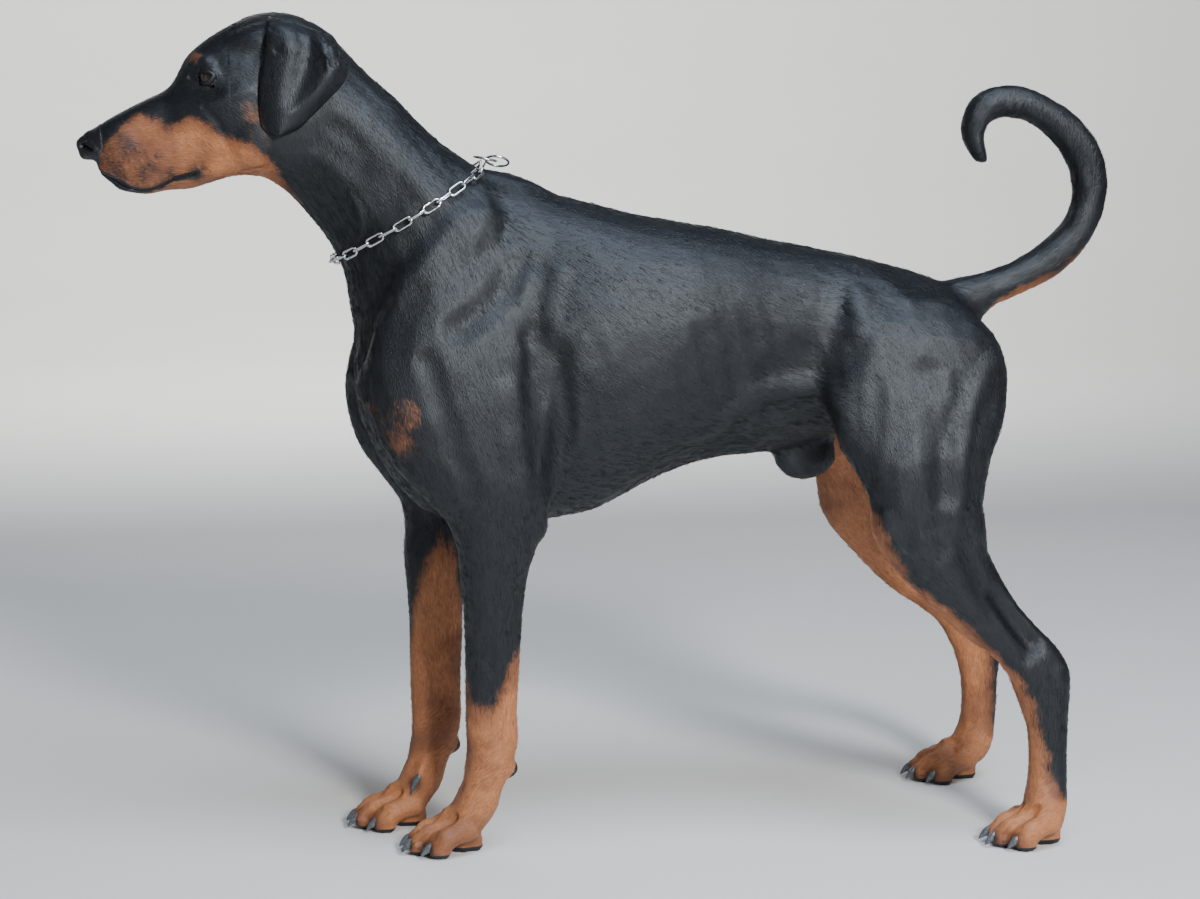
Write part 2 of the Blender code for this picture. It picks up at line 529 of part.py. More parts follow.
def turned_to(direction):
    return Vector(direction).to_track_quat("X", "Y").to_matrix().to_4x4()


def add_ball(bm, matrix, segments=32, rings=20):
    """A ball of radius 1, moved by the matrix, made apart because the ball tool is slow in a full mesh."""
    ball = bmesh.new()
    bmesh.ops.create_uvsphere(ball, u_segments=segments, v_segments=rings, radius=1.0, matrix=matrix)
    mesh = bpy.data.meshes.new("ball")
    ball.to_mesh(mesh)
    ball.free()
    bm.from_mesh(mesh)
    bpy.data.meshes.remove(mesh)


def add_mass(bm, middle, sizes, direction):
    add_ball(bm, Matrix.Translation(middle) @ turned_to(direction) @ Matrix.Diagonal((*sizes, 1)))


def add_tube(bm, points, radii, corners=16):
    """A round limb through these points, with a ball at each end."""
    points = np.array(points, float)
    wide = np.column_stack([points, radii])
    wide = smooth_rows(wide, 4)
    for (point, radius) in ((wide[0, :3], wide[0, 3]), (wide[-1, :3], wide[-1, 3])):
        add_ball(bm, Matrix.Translation(point) @ Matrix.Scale(radius, 4), 16, 10)
    directions = np.gradient(wide[:, :3], axis=0)
    rings = []
    for point, radius, direction in zip(wide[:, :3], wide[:, 3], directions):
        frame = Vector(direction).to_track_quat("Z", "Y").to_matrix()
        ring = []
        for i in range(corners):
            turn = 2 * math.pi * i / corners
            ring.append(Vector(point) + frame @ Vector((math.cos(turn), math.sin(turn), 0)) * radius)
        rings.append(ring)
    add_loft(bm, rings)


# Body

def shifted(rows, side, shift, track=None):
    """A leg's rows on one side, with the right leg moved by height."""
    made = []
    for row in rows:
        row = list(row)
        if track is not None:
            low = min(1.0, max(0.0, (0.40 - row[1]) / 0.36))
            row[4] += low * (track - rows[-1][4])
        row[4] *= side
        if side > 0:
            heights, moves = zip(*shift)
            row[0] += np.interp(row[1], heights, moves)
            row[2] += np.interp(row[3], heights, moves)
        made.append(row)
    return made


def paw_place(end, side_name):
    side = SIDES[side_name]
    if end == "fore":
        x = FORE_PAW_X + (FORE_STRIDE if side > 0 else 0.0)
        return x, side * FORE_TRACK, side
    x = HIND_PAW_X + (HIND_SHIFT[0][1] if side > 0 else 0.0)
    return x, side * HIND_TRACK[side_name], side


def toe_points(end, side_name, across, back, size):
    """Joints of one toe, from the root near the paw's middle, fanning out to the tip."""
    x, y, side = paw_place(end, side_name)
    points = []
    for forward, up, radius in TOE:
        fan = np.interp(forward, [TOE[0][0], TOE[2][0], TOE[3][0]], [0.50, 1.0, 1.02])
        ahead = forward * size - back * (forward - TOE[0][0]) / (TOE[3][0] - TOE[0][0])
        points.append((x - ahead, y + across * fan, up * size, radius * size))
    return points


def add_paw(bm, end, side_name):
    x, y, side = paw_place(end, side_name)

    def add_part(form, at_x=x, at_y=y, height=0.0):
        (ahead, across, up), sizes, direction = form
        add_mass(bm, (at_x + ahead, at_y + side * across, height + up), sizes, direction)

    for across, back, size in TOES:
        joints = toe_points(end, side_name, across, -back, size)
        add_tube(bm, [joint[:3] for joint in joints], [joint[3] for joint in joints])
        tip = joints[-1]
        (behind, _, up), sizes, direction = TOE_PAD
        add_mass(bm, (tip[0] - behind, tip[1], up), sizes, direction)
    add_part(HEEL_PAD)
    add_part(INSTEP)
    if end == "fore":
        add_part(CARPAL_PAD)
        dewclaw_x = DEWCLAW[0] + (FORE_STRIDE if side > 0 else 0.0)
        add_part(DEWCLAW_TOE, dewclaw_x, y + side * DEWCLAW[1], DEWCLAW[2])


def add_masses(bm, masses):
    for side in SIDES.values():
        for _, (x, y, z), sizes, (dx, dy, dz) in masses:
            add_mass(bm, (x, side * y, z), sizes, (dx, side * dy, dz))


def add_head(bm):
    add_form(bm, MUZZLE_AND_SKULL)
    add_form(bm, LOWER_JAW)
    add_form(bm, NECK, corners=40)
    add_masses(bm, HEAD_MASSES)
    add_mass(bm, *NOSE_PAD)
    for side in SIDES.values():
        eye = (EYE[0], side * EYE[1], EYE[2])
        add_mass(bm, eye, (EYE_RADIUS + LID,) * 3, (1, 0, 0))


def fused(name, bm, voxel, guides):
    """The forms in the mesh as one closed surface."""
    flesh = object_from(name, bm, guides)
    fuse = flesh.modifiers.new("fuse", "REMESH")
    fuse.mode = "VOXEL"
    fuse.voxel_size = voxel
    apply_modifiers(flesh)
    keep_largest(flesh)
    return flesh


def make_head_flesh(guides):
    """The head and neck as one surface, finer than the body."""
    bm = bmesh.new()
    add_head(bm)
    flesh = fused("head_flesh", bm, HEAD_VOXEL, guides)
    weights = np.minimum(1.0, smoothing_weights(read_points(flesh.data)) * 2)
    soften(flesh.data, HEAD_SOFTENING, weights)
    for path, radius, depth, mirrored in HEAD_PRESSES.values():
        press(flesh.data, path, radius, depth, mirrored)
    press(flesh.data, MOUTH, MOUTH_RADIUS, MOUTH_DEPTH)
    repeats, strength = LAST_SOFTENING
    soften(flesh.data, repeats, np.full(len(weights), strength))
    return flesh


def make_body_flesh(guides):
    """The whole body as one surface, before it is parted."""
    bm = bmesh.new()
    add_head(bm)
    add_form(bm, TRUNK, corners=48)
    add_form(bm, TAIL, corners=24)
    add_form(bm, SHEATH)
    add_masses(bm, BODY_MASSES)
    for side_name, side in SIDES.items():
        add_form(bm, shifted(FORELEG, side, FORE_SHIFT))
        add_form(bm, shifted(HIND_LEG, side, HIND_SHIFT, HIND_TRACK[side_name]))
        add_paw(bm, "fore", side_name)
        add_paw(bm, "hind", side_name)
    flesh = fused("body_flesh", bm, BODY_VOXEL, guides)
    soften(flesh.data, BODY_SOFTENING, smoothing_weights(read_points(flesh.data)))
    for path, radius, depth, mirrored in BODY_PRESSES.values():
        press(flesh.data, path, radius, depth, mirrored)
    for side_name, side in SIDES.items():
        for face in (-1, 1):
            y = side * (HIND_TRACK[side_name] + SHANK_MIDDLE) + face * SHANK_HALF_WIDTH
            path = [(x, y, z) for x, z in HOLLOW_BEFORE_TENDON]
            press(flesh.data, path, TENDON_HOLLOW_RADIUS, TENDON_HOLLOW_DEPTH, mirrored=False)
    return flesh


def read_points(mesh):
    points = np.empty(len(mesh.vertices) * 3)
    mesh.vertices.foreach_get("co", points)
    return points.reshape(-1, 3)


def soften(mesh, repeats, weights):
    points = read_points(mesh)
    edges = np.empty(len(mesh.edges) * 2, int)
    mesh.edges.foreach_get("vertices", edges)
    first, second = edges.reshape(-1, 2).T
    count = np.bincount(edges, minlength=len(points))
    for _ in range(repeats):
        total = np.empty_like(points)
        for axis in range(3):
            here = points[:, axis]
            total[:, axis] = np.bincount(first, here[second], len(points))
            total[:, axis] += np.bincount(second, here[first], len(points))
        points += (total / count[:, None] - points) * 0.5 * weights[:, None]
    mesh.vertices.foreach_set("co", points.ravel())
    mesh.update()


def smoothing_weights(points):
    """1 on the trunk and neck, less on the head, legs and tail, and least on the feet."""
    along = {"x": points[:, 0], "z": points[:, 2]}
    weights = np.ones(len(points))
    for axis, start, end, least in SMOOTHING_EDGES.values():
        share = np.clip((along[axis] - start) / (end - start), 0.0, 1.0)
        weights *= least + (1 - least) * share
    return weights


def press(mesh, path, radius, depth, mirrored=True):
    """Pushes the surface in along a path that is first laid on it."""
    points = read_points(mesh)
    normals = np.empty(len(points) * 3)
    mesh.vertices.foreach_get("normal", normals)
    normals = normals.reshape(-1, 3)
    polygons = [tuple(polygon.vertices) for polygon in mesh.polygons]
    tree = BVHTree.FromPolygons(points.tolist(), polygons)
    route = smooth_path(path, 8) if len(path) > 1 else np.array(path, float)
    for side in (-1, 1) if mirrored else (1,):
        line = np.array([tree.find_nearest(Vector(point))[0] for point in route * (1, side, 1)])
        low = line.min(axis=0) - radius
        high = line.max(axis=0) + radius
        near = np.flatnonzero(((points > low) & (points < high)).all(axis=1))
        away = np.min(np.linalg.norm(points[near, None] - line[None], axis=2), axis=1)
        fall = np.clip(1 - (away / radius) ** 2, 0, 1) ** 2
        points[near] -= normals[near] * (fall * depth)[:, None]
    mesh.vertices.foreach_set("co", points.ravel())
    mesh.update()


# Parting the body into nodes

def cut_plane(first, second, keep):
    """A plane through two points (x, z), square to the side view, as (point, outward normal)."""
    direction = Vector((second[0] - first[0], 0, second[1] - first[1]))
    normal = Vector((-direction.z, 0, direction.x)).normalized()
    point = Vector((first[0], 0, first[1]))
    if normal.dot(Vector((keep[0], 0, keep[1])) - point) > 0:
        normal = -normal
    return point, normal


def region(name, planes, guides, grow=0.0):
    """The space inside all the planes, each moved out by grow."""
    bm = bmesh.new()
    bmesh.ops.create_cube(bm, size=3.0)
    for point, normal in planes:
        geometry = bm.verts[:] + bm.edges[:] + bm.faces[:]
        where = Vector(point) + Vector(normal) * grow
        cut = bmesh.ops.bisect_plane(
            bm, geom=geometry, plane_co=where, plane_no=normal, clear_outer=True
        )
        edges = [item for item in cut["geom_cut"] if isinstance(item, bmesh.types.BMEdge)]
        if edges:
            bmesh.ops.contextual_create(bm, geom=edges)
    cutter = object_from(name, bm, guides)
    cutter.hide_render = True
    cutter.display_type = "WIRE"
    return cutter


def side_plane(y, side, slope=0.0, z=0.0):
    """A plane that keeps what lies further out than y on one side; it leans out by slope going down."""
    normal = Vector((0, -side, slope)).normalized()
    return Vector((0, side * y, z)), normal


def limb_regions():
    """Name, planes and triangle key of each part that is cut from the flesh."""
    floor = (Vector((0, 0, 0)), Vector((0, 0, -1)))
    parts = []
    head = cut_plane(*HEAD_CUT, keep=HEAD_MIDDLE)
    parts.append(("head", [head], "fine"))
    neck_top = (head[0], -head[1])
    parts.append(("neck", [neck_top, cut_plane(*NECK_CUT, keep=NECK_MIDDLE)], "coarse"))
    tail_names = ["tail_root", "tail_lower", "tail_upper", "tail_tip"]
    behind = (Vector((TAIL_FRONT_X, 0, 0)), Vector((-1, 0, 0)))
    above = cut_plane(*TAIL_UNDERSIDE, keep=TAIL_MIDDLES[0])
    for i, name in enumerate(tail_names):
        planes = [behind, above, cut_plane(*TAIL_CUTS[i], keep=TAIL_MIDDLES[i])]
        if i + 1 < len(TAIL_CUTS):
            planes.append(cut_plane(*TAIL_CUTS[i + 1], keep=TAIL_MIDDLES[i]))
        if i == 2:
            planes.append((Vector((0, 0, UPPER_TAIL_Z)), Vector((0, 0, -1))))
        if i == 3:
            planes.append((Vector((0, 0, TAIL_TIP_Z)), Vector((0, 0, -1))))
        parts.append((name, planes, "coarse"))
    for side_name, side in SIDES.items():
        stride = FORE_STRIDE if side > 0 else 0.0
        own_side = (Vector((0, 0, 0)), Vector((0, -side, 0)))
        fore = (Vector((FORE_END_X, 0, 0)), Vector((1, 0, 0)))
        elbow_up = (Vector((0, 0, ELBOW_Z)), Vector((0, 0, -1)))
        elbow_down = (Vector((0, 0, ELBOW_Z)), Vector((0, 0, 1)))
        wrist_up = (Vector((0, 0, WRIST_Z)), Vector((0, 0, -1)))
        wrist_down = (Vector((0, 0, WRIST_Z)), Vector((0, 0, 1)))
        arm = [
            side_plane(ARM_INNER_Y, side),
            elbow_up,
            cut_plane(*ARM_TOP, keep=ARM_MIDDLE),
            cut_plane(*ARM_REAR, keep=ARM_MIDDLE),
            fore,
        ]
        parts.append((f"upper_arm_{side_name}", arm, "coarse"))
        parts.append((f"forearm_{side_name}", [own_side, elbow_down, wrist_up, fore], "middling"))
        parts.append((f"forepaw_{side_name}", [own_side, wrist_down, floor, fore], "middling"))
        hind = (Vector((HIND_START_X, 0, 0)), Vector((-1, 0, 0)))
        knee = cut_plane(*KNEE_CUT, keep=THIGH_MIDDLE)
        hock = cut_plane(*HOCK_CUT, keep=SHANK_PLACE)
        thigh = [
            side_plane(THIGH_INNER_Y, side, slope=THIGH_LEAN, z=THIGH_LEAN_Z),
            knee,
            cut_plane(*THIGH_FRONT, keep=THIGH_MIDDLE),
            cut_plane(*THIGH_TOP, keep=THIGH_MIDDLE),
            hind,
        ]
        parts.append((f"thigh_{side_name}", thigh, "coarse"))
        parts.append((f"shank_{side_name}", [own_side, (knee[0], -knee[1]), hock, hind], "middling"))
        parts.append((f"hindpaw_{side_name}", [own_side, (hock[0], -hock[1]), floor, hind], "middling"))
    return parts


def part_flesh(body_flesh, head_flesh, nodes, guides):
    made = {}
    sources = {}
    for level, triangles in DETAIL.items():
        flesh = head_flesh if level == "fine" else body_flesh
        sources[level] = copy_of(flesh, f"flesh_{level}", guides)
        decimate(sources[level], triangles)
    body = copy_of(sources["coarse"], "torso", nodes)
    for name, planes, level in limb_regions():
        piece = copy_of(sources[level], name, nodes)
        inner = region(name + "_region", planes, guides, -GAP / 2)
        boolean(piece, inner, "INTERSECT")
        keep_largest(piece)
        rest = region(name + "_rest", planes, guides, GAP / 2)
        boolean(body, rest, "DIFFERENCE")
        for used in (inner, rest):
            bpy.data.objects.remove(used)
        made[name] = piece
    for source in sources.values():
        bpy.data.objects.remove(source)
    keep_largest(body)
    made["torso"] = body
    return made


class Skin:
    """The surface of some objects together, to lay the ears and the collar on."""

    def __init__(self, objects):
        graph = bpy.context.evaluated_depsgraph_get()
        self.trees = [BVHTree.FromObject(obj, graph) for obj in objects]

    def nearest(self, point):
        found = [tree.find_nearest(point) for tree in self.trees]
        return min(found, key=lambda hit: hit[3])[:2]

    def reach(self, middle, ray):
        hits = [tree.ray_cast(middle + ray * 0.3, -ray, 0.3)[0] for tree in self.trees]
        return max((hit - middle).length for hit in hits if hit is not None)


# Eyes, ears and claws

def make_eyes(head, nodes, guides):
    made = {}
    for side_name, side in SIDES.items():
        middle = Vector((EYE[0], side * EYE[1], EYE[2]))
        gaze = Vector((GAZE[0], side * GAZE[1], GAZE[2])).normalized()
        bm = bmesh.new()
        matrix = Matrix.Translation(middle) @ turned_to(gaze)
        bmesh.ops.create_uvsphere(bm, u_segments=12, v_segments=8, radius=EYE_RADIUS - GAP, matrix=matrix)
        made[f"eye_{side_name}"] = object_from(f"eye_{side_name}", bm, nodes)
        bm = bmesh.new()
        bmesh.ops.create_uvsphere(bm, u_segments=16, v_segments=10, radius=EYE_RADIUS + GAP, matrix=matrix)
        socket = object_from("socket", bm, guides)
        boolean(head, socket, "DIFFERENCE")
        bm = bmesh.new()
        long_way = Vector((0, 0, 1)).cross(gaze).normalized()
        up = gaze.cross(long_way)
        rings = []
        for reach in LID_REACH:
            ring = []
            for i in range(LID_CORNERS):
                turn = 2 * math.pi * i / LID_CORNERS
                wide = LID_OPENING[0] * math.cos(turn)
                tall = LID_OPENING[1] * math.sin(turn) * abs(math.sin(turn)) ** LID_POINT
                flare = 1 + (reach - LID_FLARE_START) * LID_FLARE
                ring.append(middle + gaze * reach + (long_way * wide + up * tall) * flare)
            rings.append(ring)
        add_loft(bm, rings)
        opening = object_from("lid_opening", bm, guides)
        boolean(head, opening, "DIFFERENCE")
        for used in (socket, opening):
            bpy.data.objects.remove(used)
    keep_largest(head)
    return made


def laid_on(skin, point, height):
    """The point, lifted where it would lie less than height above the skin."""
    surface, normal = skin.nearest(point)
    return surface + normal * max(height, (point - surface).dot(normal))


def ear_section(skin, row, down, side):
    """Points round one cross-section of the ear, bowed out, thinner at its edges and clear of the head."""
    front = Vector(row[:3])
    rear = Vector(row[3:])
    outer = []
    inner = []
    for s in np.linspace(0, 1, EAR_STEPS + 1):
        bow = EAR_CAMBER * math.sin(math.pi * s) ** 0.8 * min(1.0, 0.4 + 2 * down)
        thick = EAR_THICKNESS * (0.45 + 0.55 * math.sin(math.pi * s) ** 0.5)
        middle = front.lerp(rear, s) + Vector((0, bow, 0))
        middle.y *= side
        inside = laid_on(skin, middle - Vector((0, side * thick / 2, 0)), EAR_CLEARANCE)
        outside = laid_on(skin, middle + Vector((0, side * thick / 2, 0)), EAR_CLEARANCE + thick)
        inner.append(inside)
        outer.append(outside)
    return outer + inner[::-1]


def make_ears(head_flesh, nodes):
    made = {}
    skin = Skin([head_flesh])
    rows = smooth_rows([(*front, *rear) for front, rear in EAR], 2)
    for side_name, side in SIDES.items():
        bm = bmesh.new()
        rings = []
        for number, row in enumerate(rows):
            rings.append(ear_section(skin, row, number / (len(rows) - 1), side))
        add_loft(bm, rings)
        bmesh.ops.triangulate(bm, faces=bm.faces)
        made[f"ear_{side_name}"] = object_from(f"ear_{side_name}", bm, nodes)
    return made


def claw_rings(root, direction, grow):
    """A claw that curves down from its root, with an oval section."""
    rings = []
    ahead = Vector(direction).normalized()
    across = Vector((0, 0, 1)).cross(ahead).normalized()
    for t, size in CLAW_SECTIONS:
        reach = t * CLAW_LENGTH + (grow if t == 1.0 else 0) - (grow if t < 0 else 0)
        drop = CLAW_DROP * CLAW_LENGTH * max(0.0, t) ** 2
        middle = Vector(root) + ahead * reach - Vector((0, 0, drop))
        ring = []
        for i in range(CLAW_SIDES):
            turn = 2 * math.pi * i / CLAW_SIDES
            wide = across * math.cos(turn) * CLAW_OVAL
            tall = Vector((0, 0, math.sin(turn)))
            ring.append(middle + (wide + tall) * (CLAW_RADIUS * size + grow))
        rings.append(ring)
    return rings


def make_claws(parts, nodes, guides):
    made = {}
    for end in ("fore", "hind"):
        for side_name, side in SIDES.items():
            places = []
            for number, (across, back, size) in enumerate(TOES, start=2):
                inner_first = number if side < 0 else 7 - number
                joints = toe_points(end, side_name, across, -back, size)
                tip = joints[-1]
                root = tuple(np.add(tip[:3], CLAW_ROOT))
                way = (-1, CLAW_FAN * np.sign(across), CLAW_DIP)
                places.append((f"claw_{end}_{side_name}_{inner_first}", root, way))
            if end == "fore":
                x, y, _ = paw_place(end, side_name)
                dewclaw_x = DEWCLAW[0] + (FORE_STRIDE if side > 0 else 0.0)
                ahead, across, up = DEWCLAW_ROOT
                root = (dewclaw_x + ahead, y + side * (DEWCLAW[1] + across), DEWCLAW[2] + up)
                places.append((f"claw_{end}_{side_name}_1", root, DEWCLAW_WAY))
            paw = parts[f"{end}paw_{side_name}"]
            for name, root, direction in places:
                bm = bmesh.new()
                add_loft(bm, claw_rings(root, direction, 0.0))
                made[name] = object_from(name, bm, nodes)
                bm = bmesh.new()
                add_loft(bm, claw_rings(root, direction, GAP))
                socket = object_from("claw_socket", bm, guides)
                boolean(paw, socket, "DIFFERENCE")
                bpy.data.objects.remove(socket)
            keep_largest(paw)
    return made


# Collar

def collar_route(skin):
    """Points just off the skin all the way round the neck, from the nape, near the collar's plane."""
    front = Vector((COLLAR_FRONT[0], 0, COLLAR_FRONT[1]))
    back = Vector((COLLAR_BACK[0], 0, COLLAR_BACK[1]))
    middle = (front + back) / 2
    ahead = (front - back).normalized()
    across = Vector((0, 1, 0))
    route = []
    for i in range(ROUTE_POINTS):
        turn = 2 * math.pi * i / ROUTE_POINTS
        ray = -ahead * math.cos(turn) + across * math.sin(turn)
        route.append(middle + ray * skin.reach(middle, ray))
    for _ in range(ROUTE_ROUNDS):
        route = [
            (route[i - 1] + route[i] * 2 + route[(i + 1) % len(route)]) / 4 for i in range(len(route))
        ]
        route = [stood_off(skin, point, back) for point in route]
    return route


def stood_off(skin, point, nape):
    """The point moved out to the chain's height over the skin, which is greater near the nape."""
    surface, normal = skin.nearest(point)
    lift = RING_LIFT * max(0.0, 1 - (point.y / RING_DIAMETER) ** 2)
    if (point - nape).length > 2 * RING_DIAMETER:
        lift = 0.0
    return surface + normal * max(COLLAR_STAND_OFF + lift, (point - surface).dot(normal))


def link_mesh(bm, middle, along, out, length, width, wire, bends=8, corners=4):
    """One link: a wire bent into a long closed loop. along is its long way, out its flat's normal."""
    along = along.normalized()
    out = (out - along * out.dot(along)).normalized()
    across = out.cross(along)
    radius = (width - wire) / 2
    straight = (length - width) / 2
    rings = []
    for i in range(bends):
        turn = 2 * math.pi * (i + 0.5) / bends
        end = straight if math.cos(turn) > 0 else -straight
        point = middle + along * (end + radius * math.cos(turn)) + across * radius * math.sin(turn)
        outward = along * math.cos(turn) + across * math.sin(turn)
        ring = []
        for j in range(corners):
            roll = 2 * math.pi * j / corners
            ring.append(point + (outward * math.cos(roll) + out * math.sin(roll)) * wire / 2)
        rings.append(ring)
    loops = [[bm.verts.new(p) for p in ring] for ring in rings]
    for first, second in zip(loops, loops[1:] + loops[:1]):
        for i in range(corners):
            bm.faces.new((first[i - 1], first[i], second[i], second[i - 1]))


def make_collar(parts, nodes, guides):
    """The chain as arcs of a few linked links, and the two rings where it closes."""
    skin = Skin([parts["neck"], parts["torso"]])
    route = collar_route(skin)
    points = np.array([tuple(p) for p in route] + [tuple(route[0])])
    lengths = np.concatenate([[0], np.cumsum(np.linalg.norm(np.diff(points, axis=0), axis=1))])

    def at(distance):
        return Vector([np.interp(distance % lengths[-1], lengths, points[:, k]) for k in range(3)])

    tight = LINK_LENGTH - 2 * WIRE + LINK_PLAY
    loose = LINK_LENGTH - 2 * WIRE - ARC_OVERLAP
    start = RING_DIAMETER / 2 - WIRE - RING_PLAY + LINK_LENGTH / 2 - WIRE
    room = lengths[-1] - 2 * start
    links = int(room / tight) + 1
    links -= 1 - links % 2
    arcs = math.ceil(links / LINKS_IN_ARC)
    step = (room - (arcs - 1) * loose) / (links - arcs)
    tight = min(tight, step)
    distance = start + (room - (links - arcs) * tight - (arcs - 1) * loose) / 2
    made = {}
    number = 0
    for arc in range(arcs):
        pieces = []
        for _ in range(min(LINKS_IN_ARC, links - number)):
            here = at(distance)
            along = at(distance + LINK_STEP) - at(distance - LINK_STEP)
            _, out = skin.nearest(here)
            flat = out if number % 2 else out.cross(along)
            bm = bmesh.new()
            link_mesh(bm, here, along, flat, LINK_LENGTH, LINK_WIDTH, WIRE)
            pieces.append(object_from(f"link_{number}", bm, guides))
            number += 1
            distance += tight
        distance += loose - tight
        first = pieces[0]
        for other in pieces[1:]:
            boolean(first, other, "UNION")
            bpy.data.objects.remove(other)
        keep_largest(first)
        guides.objects.unlink(first)
        nodes.objects.link(first)
        first.name = f"collar_chain_{arc + 1}"
        made[first.name] = first
    top = at(0.0)
    _, out = skin.nearest(top)
    across = Vector((0, 1, 0))
    rearward = across.cross(out).normalized()
    lean = (across * RING_LEAN[0] + out * RING_LEAN[1]).normalized()
    for name, middle, along, flat in (
        ("collar_ring_1", top, across, out),
        ("collar_ring_2", top + rearward * RING_SPREAD, rearward, lean),
    ):
        bm = bmesh.new()
        link_mesh(bm, middle, along, flat, RING_DIAMETER, RING_DIAMETER, WIRE, bends=14, corners=5)
        made[name] = object_from(name, bm, nodes)
    return made


def finish_nodes(parts, materials):
    """Materials, smooth shading, and the origin under the middle of the whole."""
    for name, obj in parts.items():
        if name.startswith("eye"):
            slot = "eye"
        elif name.startswith("claw"):
            slot = "claw"
        elif name.startswith("collar"):
            slot = "chain_steel"
        elif "paw" in name:
            slot = "coat_tan"
        else:
            slot = "coat_black"
        obj.data.materials.clear()
        obj.data.materials.append(materials[slot])
        obj.data.transform(Matrix.Translation((-CENTRE_X, -CENTRE_Y, 0)))
        obj.data.shade_smooth()
        obj.data.set_sharp_from_angle(angle=math.radians(50))


def main():
    clear_scene()
    nodes = new_collection("doberman_pinscher")
    guides = new_collection("cutters")
    guides.hide_render = True
    materials = make_materials()
    body_flesh = make_body_flesh(guides)
    head_flesh = make_head_flesh(guides)
    parts = part_flesh(body_flesh, head_flesh, nodes, guides)
    parts.update(make_eyes(parts["head"], nodes, guides))
    parts.update(make_ears(head_flesh, nodes))
    parts.update(make_claws(parts, nodes, guides))
    parts.update(make_collar(parts, nodes, guides))
    for flesh in (body_flesh, head_flesh):
        bpy.data.objects.remove(flesh)
    finish_nodes(parts, materials)


main()
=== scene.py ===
"""The looks of a life-size standing dog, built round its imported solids.

Lengths are in metres in the dog's own frame: it looks along -X, its left side is -Y, the floor is z = 0
and its middle plane is y = 0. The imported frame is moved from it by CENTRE.
"""

import math

import bmesh
import bpy
import numpy as np
from mathutils import Matrix, Vector, noise
from mathutils.bvhtree import BVHTree


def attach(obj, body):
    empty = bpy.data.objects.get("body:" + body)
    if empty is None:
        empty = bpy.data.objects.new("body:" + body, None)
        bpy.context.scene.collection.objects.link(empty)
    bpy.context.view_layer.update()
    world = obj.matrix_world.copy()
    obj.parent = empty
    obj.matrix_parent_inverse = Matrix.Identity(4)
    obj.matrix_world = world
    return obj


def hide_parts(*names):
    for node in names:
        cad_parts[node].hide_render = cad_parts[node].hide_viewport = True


CENTRE = Vector((0.025, 0.011, 0.0))
SIDES = {"left": -1, "right": 1}

# Camera and light
CAMERA_PLACE = (-0.445, -2.751, 0.825)
CAMERA_AZIMUTH = math.radians(-9.0)
CAMERA_PITCH = math.radians(8.25)
CAMERA_LENS = 78.0
SENSOR_WIDTH = 36.0
WHITE = (1.0, 0.99, 0.97)
SKY_BLUE = (0.74, 0.85, 1.0)
BODY_MIDDLE = (0, 0, 0.5)
LIGHTS = {
    "key": {"place": (0.9, -3.0, 1.9), "aim": BODY_MIDDLE, "size": 0.7, "watts": 150, "colour": WHITE},
    "sky": {"place": (0.5, -1.1, 3.1), "aim": BODY_MIDDLE, "size": 1.8, "watts": 95, "colour": SKY_BLUE},
    "fill": {"place": (-2.6, -1.7, 1.0), "aim": BODY_MIDDLE, "size": 1.8, "watts": 3, "colour": WHITE},
    "rim": {"place": (-0.6, 2.5, 2.1), "aim": BODY_MIDDLE, "size": 1.4, "watts": 12, "colour": WHITE},
    "backdrop": {"place": (0, 3.4, 3.0), "aim": (0, 7.5, 1.0), "size": 3.0, "watts": 300, "colour": WHITE},
}
WORLD_COLOUR = (0.80, 0.88, 1.0)
WORLD_STRENGTH = 0.09
# The floor runs up into a bowl: radius and height of each ring
BOWL = [(3.0, 0.0), (5.0, 0.0), (5.8, 0.10), (6.6, 0.45), (7.3, 1.20), (7.8, 2.40), (8.0, 4.0)]
BOWL_CORNERS = 96

# Skin
SKIN_VOXEL = 0.0033
JOIN_DISTANCE = 0.000002
GAP_CLOSING = 0.0004
COAT_DEPTH = 0.0008
HEAD_BACK = -0.3
HEAD_LOW = 0.66
HEAD_MARGIN = 0.004
FACE_BACK = -0.375
FACE_MARGIN = 0.003
FEET_TOP = 0.075
UNEVEN_WAVE = 0.03
UNEVEN_DEPTH = 0.0006
# How often the surface is evened: all of it, where it is split finer, and at the nose's edge
EVENINGS = {"all": 12, "finer": 2, "nose": 8}
NOSE_SHARE = 0.4
PUSH_AND_PULL = (0.5, -0.52)
# How strongly: from 0 at a place on this axis to 1 so much further on, and nowhere less than the last
EVENING = {"head": ("x", -0.33, 0.05, 0.12), "legs": ("z", 0.12, 0.3, 0.6), "feet": ("z", 0.055, 0.06, 0.2)}
# Of a relief this near the middle plane, each side makes half
MIDDLE_WIDTH = 0.002
PATH_STEPS = 8
OUTSIDE = 0.3
FAR = 1
TINY = 1e-12

